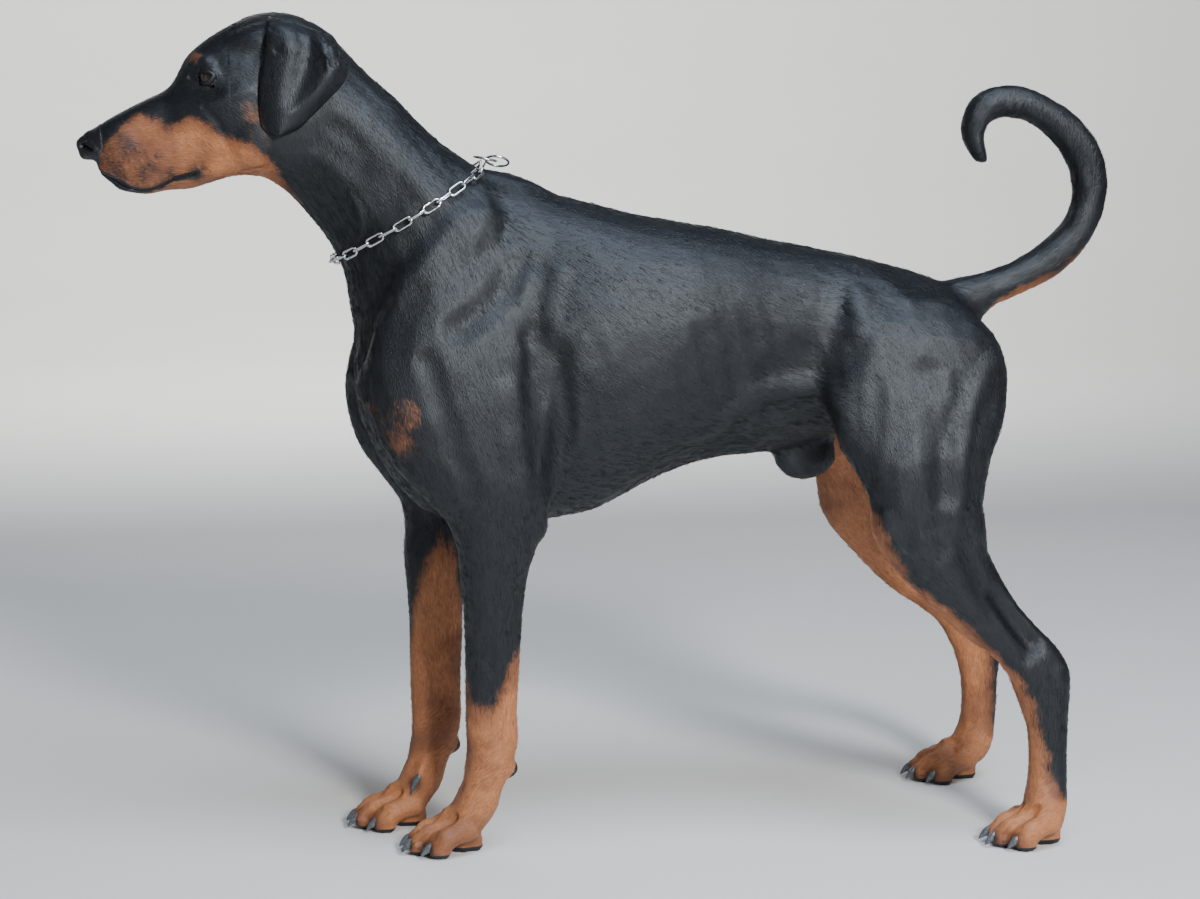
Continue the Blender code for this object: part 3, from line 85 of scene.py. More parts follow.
# Relief pressed into the skin (a depth above 0) or raised on it (below 0): path, radius, depth.
BODY_RELIEF = {
    "fold at the withers": (
        [(-0.103, 0.03, 0.712), (-0.099, 0.05, 0.681), (-0.094, 0.07, 0.655)], 0.018, 0.0012),
    "ridge of the shoulder blade": (
        [(-0.1, 0.06, 0.65), (-0.091, 0.086, 0.601), (-0.089, 0.104, 0.54)], 0.026, -0.0016),
    "front of the shoulder blade": (
        [(-0.15, 0.07, 0.64), (-0.14, 0.09, 0.59), (-0.15, 0.105, 0.55)], 0.028, 0.0013),
    "behind the shoulder": (
        [(-0.06, 0.08, 0.63), (-0.068, 0.09, 0.59), (-0.078, 0.1, 0.555)], 0.014, 0.0016),
    "second ridge": (
        [(-0.041, 0.086, 0.621), (-0.05, 0.094, 0.589), (-0.06, 0.095, 0.56)], 0.014, -0.0014),
    "behind the triceps": (
        [(-0.066, 0.1, 0.56), (-0.07, 0.11, 0.5), (-0.066, 0.11, 0.43)], 0.02, 0.003),
    "long head of the triceps": (
        [(-0.098, 0.1, 0.5), (-0.094, 0.105, 0.44), (-0.088, 0.1, 0.39)], 0.024, -0.002),
    "front of the upper arm": (
        [(-0.18, 0.09, 0.53), (-0.158, 0.095, 0.46), (-0.136, 0.09, 0.4)], 0.018, 0.0022),
    "elbow point": ([(-0.077, 0.085, 0.368), (-0.074, 0.085, 0.354)], 0.014, -0.003),
    "fold above the elbow": ([(-0.094, 0.09, 0.375), (-0.08, 0.09, 0.383)], 0.007, 0.0012),
    "fold under the elbow": (
        [(-0.1, 0.08, 0.35), (-0.084, 0.08, 0.347), (-0.07, 0.08, 0.343)], 0.006, 0.0016),
    "foreleg tendon": (
        [(-0.107, 0.08, 0.329), (-0.107, 0.08, 0.24), (-0.107, 0.08, 0.175)], 0.011, -0.0016),
    "foreleg groove": (
        [(-0.092, 0.08, 0.3), (-0.093, 0.08, 0.199), (-0.101, 0.08, 0.16), (-0.106, 0.08, 0.127)],
        0.009, 0.002),
    "foreleg vein": ([(-0.133, 0.08, 0.218), (-0.123, 0.08, 0.206), (-0.116, 0.08, 0.188)], 0.004, -0.001),
    "flank hollow": ([(0.196, 0.1, 0.512), (0.232, 0.11, 0.528), (0.25, 0.11, 0.555)], 0.036, 0.0044),
    "flank fold": (
        [(0.14, 0.08, 0.466), (0.16, 0.08, 0.483), (0.2, 0.08, 0.497), (0.239, 0.09, 0.492),
         (0.255, 0.1, 0.47), (0.26, 0.1, 0.432)], 0.02, -0.003),
    "under the flank fold": ([(0.185, 0.08, 0.466), (0.225, 0.09, 0.462)], 0.02, 0.002),
    "point of the hip": ([(0.278, 0.074, 0.595), (0.27, 0.095, 0.56)], 0.02, -0.003),
    "behind the hip": ([(0.312, 0.08, 0.59), (0.318, 0.1, 0.545), (0.322, 0.11, 0.505)], 0.022, 0.002),
    "rear of the thigh": (
        [(0.424, 0.095, 0.526), (0.404, 0.109, 0.5), (0.386, 0.118, 0.47), (0.375, 0.129, 0.432),
         (0.37, 0.138, 0.362), (0.372, 0.14, 0.32)], 0.018, -0.0018),
    "ahead of that ridge": (
        [(0.384, 0.12, 0.5), (0.368, 0.13, 0.445), (0.356, 0.14, 0.376), (0.35, 0.14, 0.33)],
        0.022, 0.0018),
    "behind that ridge": (
        [(0.408, 0.11, 0.47), (0.398, 0.12, 0.43), (0.392, 0.13, 0.38)], 0.018, 0.0013),
    "front of the thigh": (
        [(0.355, 0.118, 0.483), (0.33, 0.133, 0.435), (0.313, 0.137, 0.381), (0.306, 0.14, 0.35)],
        0.028, -0.002),
    "edge of the thigh": (
        [(0.29, 0.11, 0.5), (0.284, 0.12, 0.44), (0.278, 0.12, 0.4)], 0.016, 0.0014),
    "hollow at the knee": ([(0.317, 0.15, 0.358), (0.315, 0.15, 0.333)], 0.013, 0.002),
    "kneecap": ([(0.29, 0.14, 0.362), (0.294, 0.14, 0.345)], 0.014, -0.0018),
    "calf": ([(0.345, 0.15, 0.335), (0.366, 0.15, 0.3), (0.392, 0.14, 0.262)], 0.02, -0.002),
    "behind the calf": ([(0.376, 0.14, 0.34), (0.4, 0.13, 0.289)], 0.014, 0.0018),
    "hollow before the tendon": (
        [(0.424, 0.12, 0.272), (0.438, 0.12, 0.243), (0.454, 0.12, 0.208)], 0.015, 0.0026),
    "shin ridge": ([(0.345, 0.13, 0.27), (0.395, 0.12, 0.225), (0.43, 0.12, 0.19)], 0.01, -0.0012),
    "hock bone": ([(0.494, 0.12, 0.188), (0.49, 0.12, 0.172)], 0.016, -0.0008),
    "groove of the metatarsus": (
        [(0.478, 0.14, 0.15), (0.48, 0.14, 0.11), (0.478, 0.14, 0.07)], 0.008, 0.0014),
    "hollow of the neck": ([(-0.27, 0.07, 0.76), (-0.215, 0.08, 0.7)], 0.028, 0.0022),
    "neck muscle": ([(-0.27, 0.05, 0.81), (-0.2, 0.07, 0.75), (-0.15, 0.08, 0.69)], 0.026, -0.002),
    "jugular groove": ([(-0.29, 0.05, 0.7), (-0.25, 0.07, 0.64), (-0.22, 0.07, 0.59)], 0.02, 0.0026),
    "first neck fold": (
        [(-0.262, 0.07, 0.7), (-0.252, 0.07, 0.68), (-0.252, 0.06, 0.655)], 0.006, -0.0014),
    "dip of the croup": ([(0.33, 0.05, 0.65), (0.38, 0.06, 0.615)], 0.024, 0.0016),
    "ridge of the croup": ([(0.296, 0.05, 0.64), (0.33, 0.08, 0.59)], 0.018, -0.001),
}
# How far the right legs lie from the left ones along x at each height: (z, distance)
FORE_SHIFT = [(0, -0.05), (0.3, -0.047), (0.45, -0.02), (0.56, 0)]
HIND_SHIFT = [
    (0, -0.013), (0.035, -0.001), (0.08, 0.0045), (0.12, 0.0025),
    (0.16, 0.004), (0.22, -0.006), (0.36, -0.006), (0.45, 0),
]
# Reliefs measured from a place: from halfway between two claws, from a claw, from a rib and from a whisker
TOE_GAP = ([(0.04, 0, 0.034), (0.022, 0, 0.022), (0.006, 0, 0.006)], 0.006, 0.0036)
KNUCKLE = ([(0.024, 0, 0.02), (0.018, 0, 0.018)], 0.0085, -0.0018)
RIB = ([(-0.02, 0, 0.03), (0, 0.01, -0.05), (0.012, 0, -0.11)], 0.01, -0.0005)
WHISKER_PAD = ([(0, 0, 0)], 0.003, -0.0007)
RIB_COUNT = 9
RIB_FIRST = (-0.03, 0.11, 0.52)
RIB_LAST = (0.19, 0.11, 0.56)
HEAD_RELIEF = {
    "tip of the nose": ([(-0.529, 0, 0.75), (-0.527, 0.008, 0.746)], 0.012, -0.0026),
    "underside of the nose": ([(-0.523, 0, 0.737), (-0.52, 0.01, 0.738)], 0.01, -0.0026),
    "wing of the nostril": (
        [(-0.52, 0.017, 0.756), (-0.514, 0.02, 0.748), (-0.508, 0.02, 0.742)], 0.006, -0.0014),
    "nostril": (
        [(-0.5255, 0.0075, 0.7505), (-0.5215, 0.0135, 0.7495), (-0.515, 0.019, 0.747)], 0.0028, 0.0026),
    "mouth of the nostril": ([(-0.5245, 0.009, 0.75)], 0.004, 0.0036),
    "groove under the nose": (
        [(-0.528, 0, 0.75), (-0.519, 0, 0.736), (-0.512, 0, 0.729)], 0.0022, 0.0014),
    "mouth line": (
        [(-0.514, 0, 0.729), (-0.508, 0.011, 0.7245), (-0.497, 0.0155, 0.717),
         (-0.481, 0.019, 0.7085), (-0.464, 0.0205, 0.7045), (-0.448, 0.0233, 0.709),
         (-0.43, 0.0262, 0.7185), (-0.411, 0.029, 0.7225)], 0.0026, 0.0026),
    "lip": (
        [(-0.497, 0.022, 0.719), (-0.464, 0.028, 0.707), (-0.448, 0.03, 0.712),
         (-0.43, 0.034, 0.7225)], 0.003, -0.0008),
    "fold behind the mouth": (
        [(-0.406, 0.038, 0.73), (-0.398, 0.04, 0.72), (-0.396, 0.04, 0.708)], 0.004, 0.001),
    "cheek crease": ([(-0.4, 0.044, 0.79), (-0.385, 0.05, 0.77), (-0.38, 0.05, 0.75)],
                     0.006, 0.0009),
    "inner corner of the eye": ([(-0.413, 0.029, 0.8205), (-0.405, 0.034, 0.818)], 0.004, 0.0014),
    "fold under the eye": (
        [(-0.41, 0.036, 0.809), (-0.4, 0.042, 0.8075), (-0.389, 0.046, 0.809)], 0.0034, 0.0009),
    "brow": ([(-0.415, 0.026, 0.833), (-0.404, 0.034, 0.837), (-0.39, 0.04, 0.835)], 0.006, -0.001),
    "furrow of the forehead": (
        [(-0.432, 0, 0.82), (-0.41, 0, 0.855), (-0.37, 0, 0.88)], 0.008, 0.001),
}

# Eyes, in the dog's frame, mirrored
EYE = (-0.3925, 0.036, 0.82)
EYE_RADIUS = 0.0112
CORNEA_BULGE = 0.045
GAZE = (-0.76, 0.64, 0.04)
# Angles from the gaze at which the pupil, the iris and its darker rim begin and end
PUPIL_EDGE = (math.radians(14.72), math.radians(16))
IRIS_ANGLE = math.radians(40)
IRIS_RIM = (math.radians(32.8), IRIS_ANGLE)
IRIS_EDGE = (IRIS_ANGLE, math.radians(43.2))
# Lids: half width and half height of their opening, how pointed its corners are, and the rings of
# the lids round it: angle out from the edge, and height over the eyeball
LID_OPENING = (math.radians(50), math.radians(21))
LID_CORNERS = 48
LID_POINT = 0.75
LID_TILT = math.radians(-12)
LID_RINGS = [
    (0.4, -0.001), (0.05, 0.0001), (0, 0.0006), (0.03, 0.0013), (0.1, 0.0018), (0.22, 0.0019),
    (0.4, 0.0013), (0.62, 0), (0.9, -0.0036),
]

# Ears: front and rear edge of each row, from the root down
EAR = [
    ((-0.33, 0.016, 0.885), (-0.274, 0.016, 0.871)),
    ((-0.3315, 0.025, 0.885), (-0.27, 0.025, 0.869)),
    ((-0.334, 0.037, 0.881), (-0.2665, 0.037, 0.86)),
    ((-0.336, 0.045, 0.876), (-0.261, 0.0465, 0.849)),
    ((-0.3365, 0.0505, 0.866), (-0.256, 0.0545, 0.836)),
    ((-0.3385, 0.053, 0.847), (-0.256, 0.0585, 0.822)),
    ((-0.343, 0.0545, 0.824), (-0.265, 0.06, 0.808)),
    ((-0.3452, 0.056, 0.801), (-0.279, 0.06, 0.794)),
    ((-0.345, 0.0565, 0.783), (-0.2935, 0.0595, 0.7795)),
    ((-0.342, 0.057, 0.769), (-0.305, 0.059, 0.769)),
    ((-0.335, 0.057, 0.7622), (-0.317, 0.058, 0.763)),
]
# How far its sections bow out, what share of that the root has, and how fast the rest comes on downwards
EAR_CAMBER = 0.012
EAR_ROOT_CAMBER = 0.4
EAR_CAMBER_RATE = 2
EAR_THICKNESS = 0.0034
EAR_EDGE_THICKNESS = 0.35
EAR_CLEARANCE = 0.0006
EAR_STEPS = 40
EAR_ROWS_BETWEEN = 6
EAR_EVENINGS = 3
EAR_ROOT_SINK = 0.007
EAR_ROOT_SHARE = 0.22
# The long fold and the bulge behind it: place and width across the ear, and height. They run out
# before the tip, the sooner the higher this rate.
EAR_FOLD = {"place": 0.5, "width": 0.15, "height": -0.0085}
EAR_REAR_BULGE = {"place": 0.8, "width": 0.14, "height": 0.007}
EAR_FOLD_RATE = 1.3

# Claws, against the solids: how many times as thick, how long, and how far down the tip bends
CLAW_GIRTH = 1.5
DEWCLAW_GIRTH = 2.2
CLAW_REACH = 0.86
CLAW_BEND = 0.003
CLAW_ROUNDING = 2

# Collar
COLLAR_FRONT = (-0.263, 0.634)
COLLAR_BACK = (-0.095, 0.734)
LINK_LENGTH = 0.0225
LINK_WIDTH = 0.0106
WIRE = 0.0026
LINKS_IN_ARC = 4
RING_DIAMETER = 0.027
COLLAR_STAND_OFF = LINK_WIDTH / 2 + 0.0009
RING_LIFT = 0.0045
RING_STEP = 0.013
RING_LEAN = (0.4, 0.92)
# From one link to the next, within an arc and between two arcs, and from the ring's middle to the first
TIGHT_PITCH = LINK_LENGTH - 2 * WIRE + 0.0003
LOOSE_PITCH = LINK_LENGTH - 2 * WIRE - 0.0011
RING_PITCH = RING_DIAMETER / 2 - WIRE - 0.0006 + LINK_LENGTH / 2 - WIRE
LINK_STEPS = {"bends": 24, "corners": 10}
RING_STEPS = {"bends": 48, "corners": 12}
ROUTE_POINTS = 120
ROUTE_EVENINGS = 8
# How far along the route is looked, either way, for the way that a link lies
LINK_LOOK = 0.004

# Markings: tan where a point lies inside one of these round-ended bars (first, last, radii), mirrored
TAN_BARS = {
    "vent": ((0.462, 0, 0.56), (0.466, 0, 0.5), 0.026, 0.024),
    "under the tail": ((0.47, 0, 0.578), (0.548, 0, 0.64), 0.017, 0.009),
}
# Tan too, but thinly spread over the black, no deeper than the last number
FAINT_BARS = {
    "cheek spot": ((-0.356, 0.055, 0.788), (-0.346, 0.055, 0.758), 0.005, 0.009, -0.003),
    "brow spot": ((-0.413, 0.02, 0.842), (-0.408, 0.03, 0.8395), 0.0034, 0.003, -0.0022),
    "chest patch": ((-0.226, 0.07, 0.484), (-0.203, 0.108, 0.48), 0.018, 0.013, -0.0012),
    "chest patch, lower end": ((-0.21, 0.1, 0.47), (-0.204, 0.106, 0.446), 0.016, 0.01, -0.0016),
}
# Dark hair mixed into the tan
DUSKY_BARS = {
    "front of the muzzle": ((-0.5, 0.02, 0.752), (-0.478, 0.03, 0.73), 0.018, 0.02),
    "under the whiskers": ((-0.478, 0.03, 0.722), (-0.436, 0.034, 0.716), 0.014, 0.007),
}
DUSKY_DEPTH = 0.0002
DUSKY_FADE = 0.5
# The upper edge of the tan on the muzzle, cheek and throat
FACE_TAN_TOP = [
    (-0.52, 0.738), (-0.498, 0.752), (-0.479, 0.775), (-0.465, 0.782), (-0.451, 0.779), (-0.437, 0.769),
    (-0.425, 0.773), (-0.414, 0.778), (-0.392, 0.769), (-0.374, 0.759), (-0.354, 0.753), (-0.334, 0.736),
    (-0.326, 0.721), (-0.309, 0.695), (-0.285, 0.662), (-0.268, 0.63),
]
FACE_TAN_BACK = -0.262
FACE_TAN_LOW = 0.6
# How high the tan reaches up a foreleg: angle round it from the front by the outer side, and height
FORELEG_TAN_TOPS = [
    (-180, 0.225), (-125, 0.305), (-80, 0.325), (-35, 0.262), (5, 0.188), (40, 0.158), (90, 0.164),
    (135, 0.198), (180, 0.225),
]
# The rear edge of the tan down a hind leg, outside and inside it
SHIN_EDGE = [
    (0.25, 0.41), (0.287, 0.362), (0.323, 0.294), (0.362, 0.265), (0.408, 0.224), (0.442, 0.191),
    (0.463, 0.159), (0.469, 0.126), (0.475, 0.11), (0.481, 0.08), (0.492, 0.055), (0.53, 0.04),
    (0.53, 0),
]
INNER_EDGE = [
    (0.235, 0.47), (0.29, 0.44), (0.34, 0.405), (0.372, 0.345), (0.402, 0.3), (0.436, 0.255),
    (0.47, 0.205), (0.494, 0.165), (0.499, 0.12), (0.498, 0.08), (0.505, 0.055), (0.53, 0.04),
    (0.53, 0),
]
# A depth measured straight along an axis becomes one square to the slanted edge of the tan
FACE_SLANT = 0.8
FORELEG_SLANT = 0.34
HINDLEG_SLANT = 0.7
FORELEG_REACH = 0.08
FORELEG_TAN_END = 0.36
HIND_TAN_FRONT = 0.18
HIND_TAN_TOP = 0.44
HIND_TAN_INNERMOST = 0.035
# On the thigh, above this height, the tan starts behind this x
THIGH_LOW = 0.37
THIGH_TAN_FRONT = 0.262
# How wide a strip turns the outer edge of a hind leg's tan into the inner one
EDGE_TURN = 0.016
# A leg's middle is found at these heights (first, end, step) from the points this near to each
LEG_LEVELS = (0.02, 0.44, 0.02)
LEG_SLICE = 0.018
FEWEST_POINTS = 4
# Black inside the tan, and a spot where each whisker grows
BLACK_BARS = {
    "chin front": ((-0.507, 0, 0.716), (-0.498, 0, 0.708), 0.012, 0.01),
    "lower lip": ((-0.498, 0.014, 0.706), (-0.464, 0.018, 0.7), 0.01, 0.0065),
    "corner of the mouth": ((-0.411, 0.029, 0.7225), (-0.409, 0.029, 0.7215), 0.0064, 0.0064),
}
WHISKER_SPOTS = [
    (-0.47, 0.031, 0.748), (-0.458, 0.033, 0.74), (-0.466, 0.032, 0.736), (-0.476, 0.03, 0.736),
    (-0.456, 0.032, 0.732), (-0.486, 0.029, 0.736), (-0.479, 0.03, 0.745), (-0.449, 0.034, 0.741),
    (-0.47, 0.032, 0.728), (-0.482, 0.03, 0.727), (-0.461, 0.033, 0.724),
]
WHISKER_SPOT_RADIUS = 0.0013
# Black round each claw, and bare dark skin: nose, lips along the mouth line, carpal pads, lids and soles
CLAW_SKIN_RADIUS = 0.0085
DEWCLAW_SKIN_RADIUS = 0.005
NOSE_LEATHER = ((-0.514, 0, 0.75), (-0.52, 0, 0.748), 0.0245, 0.023)
LEATHER_BACK = -0.497
LEATHER_LEAN = 0.25
NOSE_EDGE = (-0.508, 0.01)
LIP_WIDTHS = [0.008, 0.0085, 0.0078, 0.0066, 0.0054, 0.0046, 0.004, 0.0052]
LIP_DROP = 0.002
CARPAL_PADS = [(-0.088, -0.055, 0.086), (-0.138, 0.055, 0.086)]
CARPAL_PAD_RADIUS = 0.0095
LID_RADIUS = 0.012

# Lie of the coat: a place, and the way that the hair there points, mirrored
LIE = [
    ((-0.5, 0.012, 0.76), (1, 0.1, 0.1)),
    ((-0.45, 0.03, 0.74), (1, 0.1, -0.2)),
    ((-0.41, 0.03, 0.84), (0.9, 0.2, 0.5)),
    ((-0.36, 0.02, 0.885), (1, 0.1, 0)),
    ((-0.38, 0.05, 0.77), (0.9, 0.1, -0.5)),
    ((-0.3, 0.06, 0.83), (0.1, 0, -1)),
    ((-0.3, 0.06, 0.79), (0.1, 0, -1)),
    ((-0.22, 0.02, 0.83), (0.8, 0, -0.6)),
    ((-0.31, 0.02, 0.67), (0.6, 0, -0.8)),
    ((-0.22, 0.07, 0.72), (0.6, 0, -0.8)),
    ((-0.15, 0.08, 0.64), (0.4, 0, -0.9)),
    ((-0.15, 0.09, 0.54), (0.3, 0, -1)),
    ((-0.24, 0.04, 0.54), (0.1, 0.2, -1)),
    ((-0.22, 0.02, 0.42), (0.6, 0, -0.8)),
    ((-0.05, 0.03, 0.7), (1, 0.2, -0.2)),
    ((0.1, 0.03, 0.66), (1, 0.2, -0.2)),
    ((0.25, 0.03, 0.64), (1, 0.2, -0.2)),
    ((0, 0.11, 0.56), (0.8, 0, -0.6)),
    ((0.1, 0.11, 0.52), (0.8, 0, -0.6)),
    ((0, 0.11, 0.42), (0.9, 0, -0.45)),
    ((0.1, 0.04, 0.41), (1, -0.2, 0.1)),
    ((0.21, 0.09, 0.47), (0.8, 0, -0.3)),
    ((0.24, 0.05, 0.42), (0.7, 0, -0.7)),
    ((0.35, 0.06, 0.62), (0.8, 0.1, -0.6)),
    ((0.35, 0.12, 0.5), (0.5, 0, -0.85)),
    ((0.33, 0.12, 0.4), (0.4, 0, -0.9)),
    ((0.45, 0.08, 0.5), (0.1, 0, -1)),
    ((0.43, 0.1, 0.4), (0.1, 0, -1)),
    ((0.38, 0.11, 0.27), (0.65, 0, -0.75)),
    ((0.48, 0.12, 0.14), (0, 0, -1)),
    ((0.43, 0.12, 0.03), (-0.9, 0, -0.4)),
    ((-0.11, 0.09, 0.42), (0.2, 0, -1)),
    ((-0.12, 0.06, 0.25), (0.1, 0, -1)),
    ((-0.17, 0.055, 0.03), (-0.85, 0, -0.5)),
    ((0.5, 0, 0.62), (0.8, 0, 0.6)),
    ((0.56, 0, 0.72), (0.3, 0, 1)),
    ((0.57, 0, 0.85), (-0.1, 0, 1)),
]
LIE_REACH = 0.02
GRAIN_DIRECTIONS = [(1, 0, 0), (0.8, 0, -0.6), (0.35, 0, -0.94), (0, 0, 1), (0.7, 0, 0.7)]
GRAIN_SHARPNESS = 10

# Tufts of the coat in each part: its spine (x, y, z, radius; a leg's is mirrored), and the tufts'
# length, width, the height that their tips stand off the skin, and how much of it they cover
COAT = {
    "head": {
        "spine": [(-0.53, 0, 0.745, 0.03), (-0.42, 0, 0.775, 0.055), (-0.31, 0, 0.8, 0.07)],
        "length": 0.0044, "width": 0.00055, "stand": 0.00012, "cover": 0.32},
    "neck": {
        "spine": [(-0.28, 0, 0.77, 0.065), (-0.23, 0, 0.71, 0.08), (-0.175, 0, 0.64, 0.095)],
        "length": 0.01, "width": 0.0008, "stand": 0.0003, "cover": 1.1},
    "chest": {
        "spine": [(-0.165, 0, 0.6, 0.1), (-0.13, 0, 0.5, 0.12), (-0.1, 0, 0.44, 0.1)],
        "length": 0.0095, "width": 0.00085, "stand": 0.0002, "cover": 0.8},
    "ribs": {
        "spine": [(-0.02, 0, 0.545, 0.125), (0.06, 0, 0.545, 0.122)],
        "length": 0.01, "width": 0.00085, "stand": 0.00018, "cover": 0.8},
    "waist": {
        "spine": [(0.11, 0, 0.545, 0.118), (0.19, 0, 0.555, 0.1)],
        "length": 0.01, "width": 0.00085, "stand": 0.00018, "cover": 0.8},
    "loin": {
        "spine": [(0.26, 0, 0.57, 0.085), (0.34, 0, 0.57, 0.085), (0.43, 0, 0.56, 0.07)],
        "length": 0.0095, "width": 0.00085, "stand": 0.00018, "cover": 0.8},
    "foreleg": {
        "spine": [(-0.13, 0.085, 0.45, 0.045), (-0.12, 0.06, 0.3, 0.03), (-0.122, 0.055, 0.1, 0.024),
                  (-0.15, 0.055, 0.03, 0.024), (-0.19, 0.055, 0.015, 0.014)],
        "length": 0.0055, "width": 0.0006, "stand": 0.00012, "cover": 0.45},
    "hindleg": {
        "spine": [(0.33, 0.085, 0.5, 0.07), (0.33, 0.11, 0.39, 0.055), (0.41, 0.12, 0.25, 0.032),
                  (0.475, 0.125, 0.17, 0.022), (0.482, 0.125, 0.06, 0.022), (0.43, 0.125, 0.015, 0.016)],
        "length": 0.0075, "width": 0.0007, "stand": 0.00014, "cover": 0.6},
    "tail": {
        "spine": [(0.455, 0, 0.595, 0.03), (0.52, 0, 0.635, 0.022), (0.57, 0, 0.71, 0.02),
                  (0.57, 0, 0.8, 0.018), (0.52, 0, 0.862, 0.016), (0.46, 0, 0.85, 0.014),
                  (0.448, 0, 0.79, 0.01)],
        "length": 0.008, "width": 0.0008, "stand": 0.00034, "cover": 1.3},
}
COAT_TUFTS = 116000
PART_BLEND = 0.022
EAR_COAT = {
    "spine": [(-0.3, 0.036, 0.885, 0.03), (-0.302, 0.058, 0.84, 0.03), (-0.326, 0.06, 0.765, 0.02)],
    "count": 3800, "length": 0.004, "width": 0.00055, "stand": 0.0001,
}
# Where the coat stands out and is longer: place, radius, how many times
STAND_OUT = {
    "outer side of the tail": ((0.578, 0, 0.74), 0.055, 2.6),
    "top of the tail": ((0.53, 0, 0.87), 0.05, 1.5),
    "tip of the tail": ((0.45, 0, 0.785), 0.025, 1.6),
    "under the tail's root": ((0.5, 0, 0.6), 0.04, 1.7),
    "rear of the thighs": ((0.425, 0.08, 0.46), 0.06, 1.6),
    "belly": ((0.15, 0.03, 0.43), 0.07, 1.6),
    "flank fold": ((0.235, 0.09, 0.47), 0.035, 1.5),
    "sheath": ((0.25, 0, 0.39), 0.03, 1.6),
    "breast": ((-0.235, 0.03, 0.52), 0.06, 1.5),
    "elbows": ((-0.075, 0.09, 0.35), 0.03, 1.7),
    "nape": ((-0.18, 0, 0.79), 0.06, 1.3),
    "side of the neck": ((-0.22, 0.08, 0.71), 0.06, 1.5),
    "rear of the forelegs": ((-0.088, 0.06, 0.26), 0.05, 1.5),
}
# Where tufts are smaller: axis, where they are smallest and where full, and their least share
SMALLER = {"face": ("x", -0.5, -0.38, 0.45), "feet": ("z", 0.02, 0.12, 0.5)}
TUFT_SINK = 0.0004
TUFT_SWAY = 0.1
TUFT_OWN_NORMAL = 0.16
TUFT_PATCH = 0.003
# Least and most of its length, width and stand that one tuft may have
TUFT_RANGES = {"length": (0.7, 1.25), "width": (0.75, 1.2), "stand": (0.2, 1.8)}
# A blade's edges and ridge: half its width at the root and halfway, its ridge's height at the root and
# halfway, in widths, and how much of the tip's stand its edges and ridge have halfway
ROOT_HALF = 0.4
MIDDLE_HALF = 0.5
ROOT_RIDGE = 0.08
MIDDLE_RIDGE = 0.16
MIDDLE_STAND = 0.3
RIDGE_STAND = 0.4
BLADE_FACES = [(0, 2, 1), (0, 1, 4, 3), (1, 2, 5, 4), (2, 0, 3, 5), (3, 4, 6), (4, 5, 6), (5, 3, 6)]
BLADE_PATCH = [(-0.5, 0.1), (0.5, 0.1), (0, 0), (-0.5, 0.6), (0.5, 0.6), (0, 0.5), (0, 1)]
BARE_MARGIN = 0.0008
EYE_MARGIN = 0.017
SOLE_TOP = 0.006
SOLE_SKIN_TOP = 0.0055
COAT_SEED = 7


# Small tools

def smooth_rows(rows, steps):
    """The rows with steps - 1 rows more between each two, on one smooth curve through them all."""
    rows = np.array(rows, float)
    spans = np.linalg.norm(np.diff(rows[:, :3], axis=0), axis=1)
    at = np.concatenate([[0.0], np.cumsum(spans)])
    slopes = np.gradient(rows, at, axis=0)
    found = []
    for i, span in enumerate(spans):
        for t in np.arange(steps) / steps:
            first = (2 * t**3 - 3 * t**2 + 1) * rows[i] + (t**3 - 2 * t**2 + t) * span * slopes[i]
            second = (3 * t**2 - 2 * t**3) * rows[i + 1] + (t**3 - t**2) * span * slopes[i + 1]
            found.append(first + second)
    found.append(rows[-1])
    return np.array(found)


def read(items, name, width, kind=float):
    """One value of every vertex, edge or face, as rows of the width given."""
    values = np.empty(len(items) * width, kind)
    items.foreach_get(name, values)
    return values.reshape(-1, width)


def read_points(mesh):
    return read(mesh.vertices, "co", 3)


def read_normals(mesh):
    return read(mesh.vertices, "normal", 3)


def face_values(mesh):
    """The middle, normal and area of every face."""
    faces = mesh.polygons
    return read(faces, "center", 3), read(faces, "normal", 3), read(faces, "area", 1)[:, 0]


def write_points(mesh, points):
    mesh.vertices.foreach_set("co", points.ravel())
    mesh.update()


def set_values(mesh, name, values):
    attribute = mesh.attributes.new(name, "FLOAT", "POINT")
    attribute.data.foreach_set("value", np.asarray(values, np.float32))


def new_object(name, data):
    obj = bpy.data.objects.new(name, data)
    bpy.context.scene.collection.objects.link(obj)
    return obj


def object_from(name, bm):
    mesh = bpy.data.meshes.new(name)
    bm.to_mesh(mesh)
    bm.free()
    return new_object(name, mesh)


def dress(obj, material):
    obj.data.materials.clear()
    obj.data.materials.append(material)


def bridge(bm, rings, closed=False):
    """Joins rings of points with faces, each to the next, and the last to the first if closed."""
    loops = [[bm.verts.new(point) for point in ring] for ring in rings]
    following = loops[1:] + loops[:1] if closed else loops[1:]
    for first, second in zip(loops, following):
        for i in range(len(first)):
            bm.faces.new((first[i - 1], first[i], second[i], second[i - 1]))
    return loops


def soften(mesh, repeats, weights):
    """Evens the surface, without shrinking it, where the weights are above 0."""
    points = read_points(mesh)
    edges = read(mesh.edges, "vertices", 2, int)
    first, second = edges.T
    count = np.bincount(edges.ravel(), minlength=len(points))[:, None]
    for pull in PUSH_AND_PULL * repeats:
        total = np.empty_like(points)
        for axis in range(3):
            here = points[:, axis]
            total[:, axis] = np.bincount(first, here[second], len(points))
            total[:, axis] += np.bincount(second, here[first], len(points))
        points += (total / count - points) * pull * weights[:, None]
    write_points(mesh, points)


def bar_distance(points, first, last, first_radius, last_radius):
    """How far each point lies inside a round-ended bar, below 0 outside it."""
    first = np.array(first)
    way = np.array(last) - first
    t = np.clip((points - first) @ way / max(way @ way, TINY), 0, 1)
    away = np.linalg.norm(points - first - t[:, None] * way, axis=1)
    return first_radius + (last_radius - first_radius) * t - away


def ball_distance(points, middle, radius):
    """How far each point lies inside a ball, below 0 outside it."""
    return radius - np.linalg.norm(points - middle, axis=1)


